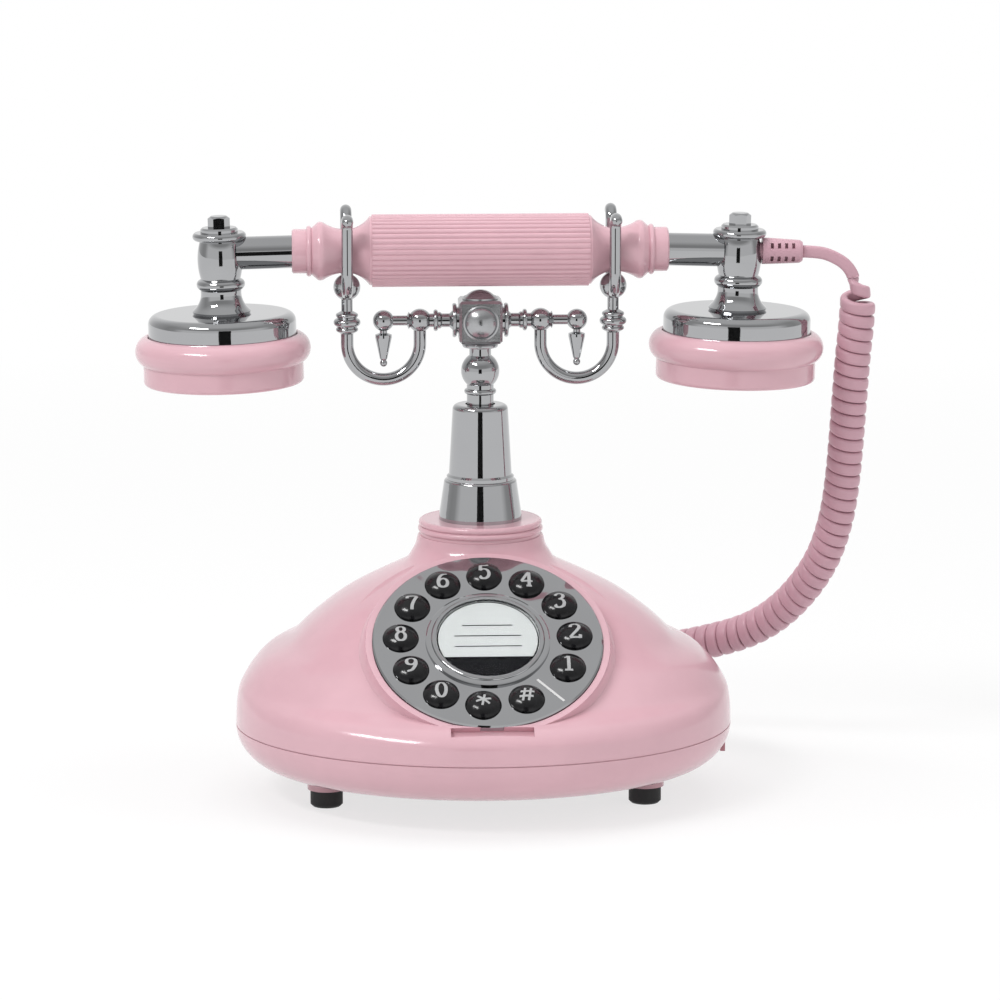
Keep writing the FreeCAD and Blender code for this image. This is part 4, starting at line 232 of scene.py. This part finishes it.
MARK_INNER_R = 24.2 * MM
MARK_OUTER_R = 37.3 * MM
MARK_HALF = 0.42 * MM


def on_dial(flat, height):
    """Place points in the shared frame: the dial's centre plus across, up and off along the dial's axes."""
    flat = np.asarray(flat, float)
    rise = np.broadcast_to(height, flat.shape[:-1])[..., None]
    return DIAL_AT + np.concatenate([flat, rise], axis=-1) @ DIAL_AXES


def around(radius, turn):
    """Give points on the dial's face: the radius times the cosine and the sine of the turn."""
    return np.stack([radius * np.cos(turn), radius * np.sin(turn)], axis=-1)


def grid_mesh(name, points, round_v=True):
    """Put a grid of points (u, v, 3) into a mesh of quads between neighbours.

    A round grid is joined across the ends of v, and its first and last rows are capped.
    """
    rows, columns = points.shape[:2]
    u = np.arange(rows - 1)[:, None] * columns
    v = np.arange(columns if round_v else columns - 1)[None, :]
    v_next = (v + 1) % columns
    quads = np.stack([u + v, u + v_next, u + columns + v_next, u + columns + v], axis=-1)
    faces = quads.reshape(-1, 4).tolist()
    if round_v:
        first = np.arange(columns)
        faces += [first[::-1].tolist(), (first + (rows - 1) * columns).tolist()]
    mesh = bpy.data.meshes.new(name)
    mesh.from_pydata(points.reshape(-1, 3), [], faces)
    mesh.validate()
    mesh.shade_smooth()
    return mesh


def strip_mesh(name, strips, thick):
    """Make thin closed strips on the dial: each lies between a left and a right line and has a thickness."""
    rise = DIAL_AXES[2] * thick
    side = np.arange(4)[None, :]
    turn = (side + 1) % 4
    points, faces, start = [], [], 0
    for left, right in strips:
        section = np.stack([left, left + rise, right + rise, right], axis=1)
        rows = np.arange(len(section) - 1)[:, None] * 4 + start
        quads = np.stack([rows + side, rows + turn, rows + 4 + turn, rows + 4 + side], axis=-1)
        last = start + 4 * (len(section) - 1)
        faces += quads.reshape(-1, 4).tolist()
        faces += [[start + 3, start + 2, start + 1, start], [last, last + 1, last + 2, last + 3]]
        points.append(section.reshape(-1, 3))
        start += 4 * len(section)
    mesh = bpy.data.meshes.new(name)
    mesh.from_pydata(np.concatenate(points), [], faces)
    mesh.validate()
    return mesh


def add_piece(name, mesh, made):
    """Put a mesh into the scene as a piece with a material."""
    mesh.materials.append(made)
    piece = bpy.data.objects.new(name, mesh)
    bpy.context.scene.collection.objects.link(piece)
    return piece


def print_strip(across, upper, lower):
    """Give a strip of print on the card, between an upper and a lower line over the same places across."""
    return tuple(on_dial(np.stack([across, np.broadcast_to(line, across.shape)], axis=-1), PRINT_LOW)
                 for line in (upper, lower))


def card_print():
    """Thin ring near the card's edge, three ruled lines, and a black foot between a chord and the edge.

    The foot's lower line is the circle: minus the root of the radius squared less the place across squared.
    """
    turn = np.linspace(0, RING_TURN, 145)
    strips = [tuple(on_dial(around(radius, turn), PRINT_LOW) for radius in (PRINT_R - RING_WIDTH, PRINT_R))]
    for up, half in RULED_LINES:
        strips.append(print_strip(np.linspace(-half, half, 2) * MM, up * MM + RULE_HALF, up * MM - RULE_HALF))
    across = math.sqrt(PRINT_R ** 2 - FOOT_CHORD ** 2) * np.sin(np.linspace(-FOOT_TURN, FOOT_TURN, 65))
    arc = -np.sqrt(np.maximum(PRINT_R ** 2 - across ** 2, FOOT_CHORD ** 2))
    strips.append(print_strip(across, FOOT_CHORD, arc))
    return strip_mesh("card_print", strips, PRINT_THICK)


def lens_disc():
    """Clear disc: a profile turned about the dial's axis.

    It goes from a flat underside just above the print, up the edge and in over a narrow bevel to a flat top.
    """
    radius = np.array([LENS_R, LENS_R, LENS_R - LENS_BEVEL])
    height = CARD_TOP + np.array([LENS_GAP, LENS_THICK - LENS_BEVEL, LENS_THICK])
    turn = np.linspace(0, 2 * math.pi, 96, endpoint=False)
    mesh = grid_mesh("card_window", on_dial(around(radius[:, None], turn), height[:, None]))
    mesh.shade_flat()
    return mesh


def plate_mark():
    """Straight strip on the plate, along a radius, half its width to each side."""
    line = np.array([around(MARK_INNER_R, MARK_ANGLE), around(MARK_OUTER_R, MARK_ANGLE)])
    side = np.array((-math.sin(MARK_ANGLE), math.cos(MARK_ANGLE))) * MARK_HALF
    return strip_mesh("dial_mark", [(on_dial(line + side, 0.0), on_dial(line - side, 0.0))], PRINT_THICK)


card_ink = add_piece("card_print", card_print(), PRINT_BLACK)
card_window = add_piece("card_window", lens_disc(), CLEAR)
card_window.visible_shadow = False
dial_mark = add_piece("dial_mark", plate_mark(), LINE_WHITE)
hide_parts("card_lens")
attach(card_ink, "base")
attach(card_window, "base")
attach(dial_mark, "base")


# Keys: twelve domed black plastic keys, each with a silver-white sign printed on its dome.
# A sign is drawn with a broad pen: strokes that run up and down are wide, level strokes are narrow.
KEY_BLACK = finish("key_black", (0.007, 0.007, 0.008, 1.0), roughness=0.15, spread=0.08, bump=0.10, wave=0.3,
                   smudge_scale=700.0, drift=0.35, IOR=1.42)
SIGN_SILVER = finish("sign_silver", (0.40, 0.405, 0.41, 1.0), roughness=0.34, spread=0.08, bump=0.05,
                     drift=0.03)
KEY_NODES = ["key_%d" % number for number in range(1, 10)] + ["key_0", "key_star", "key_hash"]
dress(KEY_BLACK, *KEY_NODES)
KEY_RING_R = 29.7 * MM
KEY_FIRST = math.radians(-26.0)
KEY_PITCH = math.radians(29.09)
DOME_R = 8.45 * MM
DOME_TOP = 3.2 * MM
SIGN_HEIGHT = 6.9 * MM
SIGN_WIDTH = 0.62
PEN_WIDE = 1.15 * MM
PEN_NARROW = 0.60 * MM
PEN_PLAIN = 0.80 * MM
PEN_POWER = 1.5
SIGN_PROUD = 0.05 * MM


def loop_stroke(up, half_wide, half_high):
    """Give a round stroke: an ellipse about the sign's middle line, drawn a little past one turn."""
    turn = 0.4 * np.arange(17)
    return np.stack([SIGN_WIDTH / 2 + half_wide * np.cos(turn), up + half_high * np.sin(turn)], axis=-1)


SIX = [(0.51, 0.90), (0.30, 0.84), (0.13, 0.60), (0.08, 0.32), (0.15, 0.11), (0.31, 0.05), (0.48, 0.12),
       (0.54, 0.29), (0.47, 0.47), (0.32, 0.53), (0.17, 0.47), (0.09, 0.33)]
SIGNS = {
    "key_1": [[(0.33, 0.04), (0.33, 0.95)], [(0.33, 0.93), (0.24, 0.85), (0.13, 0.82)],
              [(0.13, 0.05), (0.53, 0.05)]],
    "key_2": [[(0.08, 0.72), (0.13, 0.88), (0.30, 0.95), (0.47, 0.88), (0.52, 0.72), (0.42, 0.50),
               (0.22, 0.26), (0.07, 0.09)], [(0.05, 0.08), (0.56, 0.08)], [(0.56, 0.06), (0.57, 0.24)]],
    "key_3": [[(0.09, 0.80), (0.17, 0.92), (0.32, 0.95), (0.47, 0.86), (0.46, 0.67), (0.34, 0.55),
               (0.25, 0.53)],
              [(0.26, 0.53), (0.43, 0.49), (0.53, 0.33), (0.48, 0.14), (0.30, 0.05), (0.14, 0.09),
               (0.08, 0.20)]],
    "key_4": [[(0.42, 0.95), (0.24, 0.64), (0.05, 0.32)], [(0.04, 0.31), (0.59, 0.31)],
              [(0.42, 0.95), (0.42, 0.05)], [(0.28, 0.05), (0.55, 0.05)]],
    "key_5": [[(0.12, 0.92), (0.34, 0.89), (0.52, 0.95)], [(0.13, 0.93), (0.11, 0.54)],
              [(0.11, 0.54), (0.24, 0.61), (0.42, 0.57), (0.53, 0.40), (0.51, 0.20), (0.37, 0.06),
               (0.19, 0.06), (0.07, 0.17)]],
    "key_6": [SIX],
    "key_7": [[(0.07, 0.92), (0.30, 0.93), (0.56, 0.93)], [(0.07, 0.95), (0.06, 0.76)],
              [(0.55, 0.92), (0.40, 0.58), (0.30, 0.30), (0.27, 0.05)]],
    "key_8": [loop_stroke(0.74, 0.18, 0.20), loop_stroke(0.29, 0.22, 0.24)],
    "key_9": [(SIGN_WIDTH, 1.0) - np.array(SIX)],
    "key_0": [loop_stroke(0.5, 0.23, 0.45)],
    "key_star": [[(0.24, 0.16), (0.38, 0.84)], [(-0.06, 0.42), (0.68, 0.58)], [(0.02, 0.74), (0.60, 0.26)]],
    "key_hash": [[(0.10, 0.10), (0.24, 0.90)], [(0.39, 0.10), (0.53, 0.90)], [(-0.06, 0.35), (0.62, 0.35)],
                 [(0.00, 0.65), (0.68, 0.65)]]}


def eased(points, count):
    """Give dense points of a smooth line through points: cubic pieces, with slopes set by the neighbours."""
    points = np.asarray(points, float)
    knot = np.concatenate([[0.0], np.cumsum(np.linalg.norm(np.diff(points, axis=0), axis=1))])
    slope = np.gradient(points, knot, axis=0)
    place = np.linspace(0, knot[-1], count)
    k = np.clip(np.searchsorted(knot, place, side="right") - 1, 0, len(knot) - 2)
    span = (knot[k + 1] - knot[k])[:, None]
    t = ((place - knot[k])[:, None]) / span
    return ((2 * t ** 3 - 3 * t ** 2 + 1) * points[k] + (t ** 3 - 2 * t ** 2 + t) * span * slope[k]
            + (3 * t ** 2 - 2 * t ** 3) * points[k + 1] + (t ** 3 - t ** 2) * span * slope[k + 1])


def pen_stroke(points, centre, narrow, wide):
    """Give the two edges of a stroke on a key's dome.

    The line is half a pen's width from each edge, and the pen goes from narrow to wide with the upright share
    of the line's way. The dome's height is its top less its radius, plus the root of the radius squared less
    the distance squared from the key's centre.
    """
    line = (eased(points, 12 * len(points)) - (SIGN_WIDTH / 2, 0.5)) * SIGN_HEIGHT
    way = np.gradient(line, axis=0)
    way = way / np.linalg.norm(way, axis=1, keepdims=True)
    half = (narrow + (wide - narrow) * np.abs(way[:, 1:]) ** PEN_POWER) / 2
    side = half * np.column_stack([-way[:, 1], way[:, 0]])
    return tuple(on_dial(edge + centre, DOME_TOP - DOME_R + np.sqrt(DOME_R ** 2 - np.sum(edge ** 2, axis=1)))
                 for edge in (line + side, line - side))


for order, key in enumerate(KEY_NODES):
    key_centre = around(KEY_RING_R, KEY_FIRST + KEY_PITCH * order)
    pen = (PEN_PLAIN, PEN_PLAIN) if key in ("key_star", "key_hash") else (PEN_NARROW, PEN_WIDE)
    strokes = [pen_stroke(points, key_centre, *pen) for points in SIGNS[key]]
    sign = add_piece("sign_" + key, strip_mesh("sign_" + key, strokes, SIGN_PROUD), SIGN_SILVER)
    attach(sign, key)


# Pillar and cradle: a cone on the base, and a sliding stem that carries a block, two arms, hooks and forks.
# They are turned and cast pieces in bright chrome, screwed together; the block's faces are satin.
SATIN_CHROME = finish("satin_chrome", CHROME_COLOUR, roughness=0.24, spread=0.10, bump=0.10, wave=1.5,
                      smudge_scale=260.0, drift=0.08, Metallic=1.0)
dress(CHROME, "pillar_cone", "cradle_stem", "cradle_arms", "pendant_drops", "hook_left", "hook_right",
      "fork_left", "fork_right")
dress(SATIN_CHROME, "cradle_block")


# Handset: a fluted grip with a collar at each end, and two caps, all in the base's pink plastic.
# Chromed tubes run out of the collars to turned posts, which carry the chromed cups and are held by nuts.
dress(PINK_PLASTIC, "handle_grip", "handle_collars", "ear_cap", "mouth_cap")
dress(CHROME, "arm_tubes", "ear_post", "mouth_post", "post_nuts", "ear_cup", "mouth_cup")


# Handset cord: a flat pink vinyl lead from the boot, wound into a coil, and a lead to its clear plug.
# The lead stands on edge and goes round a line that hangs from the boot and runs behind the base.
CORD_PINK = finish("cord_vinyl", (0.58, 0.345, 0.405, 1.0), roughness=0.36, spread=0.08, bump=0.06,
                   drift=0.03, IOR=1.48)
PLUG_CLEAR = finish("plug_clear", (0.93, 0.94, 0.95, 1.0), roughness=0.08, spread=0.03, bump=0.02, drift=0.0,
                    Transmission_Weight=0.9, IOR=1.5)
dress(CORD_PINK, "cord_boot")
dress(PLUG_CLEAR, "cord_plug")
CORD_ROUTE = [
    (112.39, 24, 185.78), (117.38, 24, 185.66), (122.5, 23.5, 184.4), (128.6, 23.5, 180.6),
    (131.7, 24.0, 173.0), (131.9, 25.5, 162.0), (130.8, 27.5, 149.0), (130.1, 29.8, 134.0),
    (129.5, 32.8, 118.5), (128.8, 36.3, 103.0), (127.3, 40.3, 88.0), (123.6, 46.0, 73.0),
    (117.2, 52.5, 60.5), (108.6, 59.5, 49.5), (98.5, 66.0, 42.0), (86.0, 73.0, 37.0), (73.0, 79.5, 33.0),
    (60.0, 85.0, 28.5), (46.0, 89.5, 23.5), (32.0, 93.2, 19.8), (19.0, 96.0, 18.2), (12, 87.5, 18.2),
    (12, 77.5, 18.2)]
ROUTE_STEPS = 24
CURL_COUNT = 48
CURL_PITCH = 4.55 * MM
CURL_R = 4.85 * MM
CURL_START = 20.0 * MM
CURL_EASE = 12.0 * MM
CURL_POINTS = 28
FIRST_LEAD_POINTS = 40
LAST_LEAD_POINTS = 160
CORD_WIDTH = 4.3 * MM
CORD_THICK = 2.9 * MM
CORD_SIDES = 20
CORD_ROUNDING = 0.62
LEAD_TURN = 3


def unit(rows):
    """Scale each row of an array to length one."""
    return rows / np.linalg.norm(rows, axis=-1, keepdims=True)


def run_length(points):
    """Give the length along a line of points, from its start to each point."""
    steps = np.linalg.norm(np.diff(points, axis=0), axis=1)
    return np.concatenate([[0.0], np.cumsum(steps)])


def route_line(route):
    """Give dense points of the smooth line that has the route's points, in millimetres, as control points."""
    curve = bpy.data.curves.new("cord_route", "CURVE")
    curve.dimensions = "3D"
    spline = curve.splines.new("NURBS")
    spline.points.add(len(route) - 1)
    flat = np.column_stack([np.array(route) * MM, np.ones(len(route))])
    spline.points.foreach_set("co", flat.ravel())
    spline.order_u = 3
    spline.use_endpoint_u = True
    spline.resolution_u = ROUTE_STEPS
    holder = bpy.data.objects.new("cord_route", curve)
    mesh = bpy.data.meshes.new_from_object(holder)
    points = np.empty(len(mesh.vertices) * 3)
    mesh.vertices.foreach_get("co", points)
    bpy.data.objects.remove(holder)
    bpy.data.curves.remove(curve)
    bpy.data.meshes.remove(mesh)
    return points.reshape(-1, 3)


def wound_line(line):
    """Wind the lead round a line.

    Place along the line gives the turns made so far and the curl's radius, both easing in and out. The lead's
    point is the line's point plus that radius towards the turn's angle, in the plane square to the line.
    """
    along = run_length(line)
    run = CURL_COUNT * CURL_PITCH + CURL_EASE
    place = np.unique(np.concatenate([np.linspace(0, CURL_START, FIRST_LEAD_POINTS),
                                      np.linspace(CURL_START, CURL_START + run, CURL_COUNT * CURL_POINTS),
                                      np.linspace(CURL_START + run, along[-1], LAST_LEAD_POINTS)]))
    centre = np.column_stack([np.interp(place, along, line[:, k]) for k in range(3)])
    way = unit(np.gradient(centre, place, axis=0))
    into = np.clip(place - CURL_START, 0, run)
    slow = 2 * CURL_EASE * CURL_PITCH
    turns = np.where(into < CURL_EASE, into ** 2 / slow, (into - CURL_EASE / 2) / CURL_PITCH)
    turns = np.where(into > run - CURL_EASE, CURL_COUNT - (run - into) ** 2 / slow, turns)
    share = np.minimum(np.minimum(into, run - into), CURL_EASE) / CURL_EASE
    radius = CURL_R * np.sin(math.pi / 2 * share) ** 2
    across = unit(np.cross((0.0, 1.0, 0.0), way))
    up = np.cross(way, across)
    angle = -2 * math.pi * turns
    offset = across * np.cos(angle)[:, None] + up * np.sin(angle)[:, None]
    return centre + offset * radius[:, None], way, share, place / along[-1]


def rounded(wave):
    """Raise a wave to the cord's rounding power and keep its sign."""
    return np.sign(wave) * np.abs(wave) ** CORD_ROUNDING


def ribbon_tube(path, wide):
    """Carry a rounded flat section along a path.

    The section is a superellipse: half the width along the wide vector times the rounded cosine of the turn,
    plus half the thickness across it times the rounded sine.
    """
    tangent = unit(np.gradient(path, axis=0))
    wide = unit(wide - tangent * np.sum(wide * tangent, axis=1, keepdims=True))
    thin = np.cross(tangent, wide)
    turn = np.linspace(0, 2 * math.pi, CORD_SIDES, endpoint=False)
    flat = rounded(np.cos(turn)) * CORD_WIDTH / 2
    deep = rounded(np.sin(turn)) * CORD_THICK / 2
    return path[:, None] + wide[:, None] * flat[None, :, None] + thin[:, None] * deep[None, :, None]


wound, coil_way, coil_share, cord_share = wound_line(route_line(CORD_ROUTE))
stand_up = np.where(cord_share[:, None] < 0.5, (0.0, 0.0, 1.0), (1.0, 0.0, 0.0))
coil_weight = np.clip(coil_share * LEAD_TURN, 0, 1)[:, None]
lead_wide = unit(stand_up * (1 - coil_weight) - coil_way * coil_weight)
cord = add_piece("curly_cord", grid_mesh("curly_cord", ribbon_tube(wound, lead_wide)), CORD_PINK)
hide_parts("handset_cord")
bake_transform(cord)


# Studio: a white floor, large soft lamps and a pale tent round the set.
# The tent shows only in reflections. It is pale behind the set, low in front and overhead, greyer elsewhere,
# with a dark gap by the lens.
FLOOR_SIZE = 8.0
FLOOR_GREY = 0.86
FLOOR_GLOW = 0.72
FLOOR_NEAR = 0.35
FLOOR_FAR = 1.0
TENT = [(0.0, 0.40), (0.10, 0.42), (0.20, 0.50), (0.27, 0.44), (0.36, 0.62), (0.44, 0.90), (0.5, 0.95),
        (0.56, 0.90), (0.64, 0.62), (0.73, 0.44), (0.80, 0.50), (0.90, 0.42), (1.0, 0.40)]
WALL_GREY = 0.86
WALL_BEARING = (-0.15, -0.45)
WALL_HEIGHT = (0.34, 0.24)
ZENITH_GREY = 0.74
ZENITH_HEIGHT = (0.55, 0.88)
FILL_LIGHT = 0.52
GAP_GREY = 0.02
GAP_AT = (-0.036, 0.024)
GAP_AWAY = 0.75
GAP_HALF = 0.125
GAP_FOOT = 0.001
GAP_HEIGHT = 0.35
LAMP_AIM = (0.0, 0.02, 0.10)


def grey(value):
    """Give a neutral colour."""
    return (value, value, value, 1.0)


def matt_paint(name, value):
    """Make a matt grey material without gloss."""
    made = bpy.data.materials.new(name)
    made.use_nodes = True
    shader = made.node_tree.nodes["Principled BSDF"]
    shader.inputs["Base Color"].default_value = grey(value)
    shader.inputs["Roughness"].default_value = 0.9
    shader.inputs["Specular IOR Level"].default_value = 0.0
    return made


def held_range(tree, socket, start, end, low=0.0, high=1.0):
    """Map a value from one range to another, held at the ends, and give the output."""
    node = add_node(tree, "ShaderNodeMapRange", [(socket, "Value")], From_Min=start, From_Max=end, To_Min=low,
                    To_Max=high)
    return node.outputs["Result"]


def towards(tree, share, colour, other):
    """Mix a colour socket towards a plain colour by a share and give the output."""
    node = add_node(tree, "ShaderNodeMix", [(share, "Factor"), (colour, "A")], data_type="RGBA", B=other)
    return node.outputs[2]


def rays(tree):
    """Give two masks: rays that come straight from the lens or through glass, and rays from mirrors."""
    path = add_node(tree, "ShaderNodeLightPath").outputs
    return reckon(tree, "MAXIMUM", path["Is Camera Ray"], path["Is Transmission Ray"]), path["Is Glossy Ray"]


def studio_floor():
    """A flat square under the set: white to the lens and to mirrors, with part of the lamps' shading kept.

    The glow's share goes from its near level to one with the distance from the middle.
    """
    half = FLOOR_SIZE / 2
    corner = np.array([[[-half, -half, 0], [half, -half, 0]], [[-half, half, 0], [half, half, 0]]], float)
    made = matt_paint("studio_white", FLOOR_GREY)
    tree = made.node_tree
    shader = tree.nodes["Principled BSDF"]
    glow = add_node(tree, "ShaderNodeEmission", Strength=1.0)
    straight, mirrored = rays(tree)
    where = add_node(tree, "ShaderNodeTexCoord").outputs["Object"]
    away = add_node(tree, "ShaderNodeVectorMath", [(where, 0)], operation="LENGTH")
    level = held_range(tree, away.outputs["Value"], FLOOR_NEAR, FLOOR_FAR, FLOOR_GLOW, 1.0)
    share = reckon(tree, "MULTIPLY", reckon(tree, "MAXIMUM", straight, mirrored), level)
    mix = add_node(tree, "ShaderNodeMixShader", [(share, 0), (shader.outputs[0], 1), (glow.outputs[0], 2)])
    tree.links.new(mix.outputs[0], tree.nodes["Material Output"].inputs["Surface"])
    add_piece("studio_floor", grid_mesh("studio_floor", corner, round_v=False), made)


def studio_gap():
    """The dark gap in the tent by the lens: an upright black strip that only mirrors see."""
    middle = np.array((GAP_AT[0], GAP_AT[1] - GAP_AWAY))
    side = np.array((GAP_HALF, 0.0))
    low = np.array([np.append(middle - side, GAP_FOOT), np.append(middle + side, GAP_FOOT)])
    sheet = np.stack([low, low + (0, 0, GAP_HEIGHT)])
    strip = add_piece("studio_gap", grid_mesh("studio_gap", sheet, round_v=False),
                      matt_paint("studio_black", GAP_GREY))
    strip.visible_camera = False
    strip.visible_diffuse = False
    strip.visible_transmission = False
    strip.visible_shadow = False


def studio_world():
    """White to the lens; to mirrors a tent whose grey goes with bearing and height; to the rest a soft fill.

    The bearing is the arc tangent of X over Y, so that the ramp's middle is behind the set.
    """
    world = bpy.data.worlds.new("studio_world")
    bpy.context.scene.world = world
    world.use_nodes = True
    tree = world.node_tree
    tree.nodes.clear()
    way = add_node(tree, "ShaderNodeTexCoord").outputs["Generated"]
    part = add_node(tree, "ShaderNodeSeparateXYZ", [(way, 0)]).outputs
    bearing = held_range(tree, reckon(tree, "ARCTAN2", part["X"], part["Y"]), -math.pi, math.pi)
    tent = add_node(tree, "ShaderNodeValToRGB", [(bearing, "Fac")])
    stops = tent.color_ramp.elements
    stops[0].position, stops[1].position = TENT[0][0], TENT[-1][0]
    stops[0].color, stops[1].color = grey(TENT[0][1]), grey(TENT[-1][1])
    for position, level in TENT[1:-1]:
        stops.new(position).color = grey(level)
    in_front = held_range(tree, part["Y"], *WALL_BEARING)
    low_down = held_range(tree, part["Z"], *WALL_HEIGHT)
    wall = towards(tree, reckon(tree, "MULTIPLY", in_front, low_down), tent.outputs["Color"], grey(WALL_GREY))
    roof = towards(tree, held_range(tree, part["Z"], *ZENITH_HEIGHT), wall, grey(ZENITH_GREY))
    white = add_node(tree, "ShaderNodeBackground", Color=grey(1.0), Strength=1.0)
    tented = add_node(tree, "ShaderNodeBackground", [(roof, "Color")], Strength=1.0)
    fill = add_node(tree, "ShaderNodeBackground", Color=grey(1.0), Strength=FILL_LIGHT)
    straight, mirrored = rays(tree)
    other = add_node(tree, "ShaderNodeMixShader",
                     [(mirrored, 0), (fill.outputs[0], 1), (tented.outputs[0], 2)])
    mix = add_node(tree, "ShaderNodeMixShader", [(straight, 0), (other.outputs[0], 1), (white.outputs[0], 2)])
    add_node(tree, "ShaderNodeOutputWorld", [(mix.outputs[0], "Surface")])


def point_at(holder, place, aim):
    """Put a lamp or a camera at a place and turn it to an aim: tilt from straight down, then bearing."""
    way = np.array(aim) - np.array(place)
    holder.location = place
    holder.rotation_euler = (math.atan2(math.hypot(way[0], way[1]), -way[2]), 0,
                             math.atan2(way[1], way[0]) - math.pi / 2)


def soft_lamp(name, place, size, power, mirrored):
    """A large oblong lamp that points at the set; mirrors see it or not."""
    lamp = bpy.data.lights.new(name, "AREA")
    lamp.shape = "RECTANGLE"
    lamp.size, lamp.size_y = size
    lamp.energy = power
    holder = bpy.data.objects.new(name, lamp)
    bpy.context.scene.collection.objects.link(holder)
    point_at(holder, place, LAMP_AIM)
    holder.visible_glossy = mirrored


studio_floor()
studio_gap()
studio_world()
soft_lamp("top_lamp", place=(0.0, 0.15, 1.5), size=(1.4, 1.0), power=11.5, mirrored=False)
soft_lamp("left_lamp", place=(-0.95, -0.83, 1.35), size=(0.8, 0.2), power=12.0, mirrored=True)
soft_lamp("right_lamp", place=(1.6, -0.7, 0.8), size=(0.6, 1.0), power=3.9, mirrored=False)
bpy.context.scene.view_settings.view_transform = "Standard"


# Camera: a long lens, some way in front of the set.
# It stands at the photograph's angle, a little above the set and a little to its left.
CAMERA_LENS = 185.1
CAMERA_SENSOR = 36.0
CAMERA_REACH = 50.0
CAMERA_AT = (-0.0795, -1.7441, 0.4268)
CAMERA_AIM = (0.00689, 0.02366, 0.0988)
camera_data = bpy.data.cameras.new("photo_camera")
camera_data.lens = CAMERA_LENS
camera_data.sensor_width = CAMERA_SENSOR
camera_data.clip_end = CAMERA_REACH
camera = bpy.data.objects.new("photo_camera", camera_data)
bpy.context.scene.collection.objects.link(camera)
point_at(camera, CAMERA_AT, CAMERA_AIM)
bpy.context.scene.camera = camera
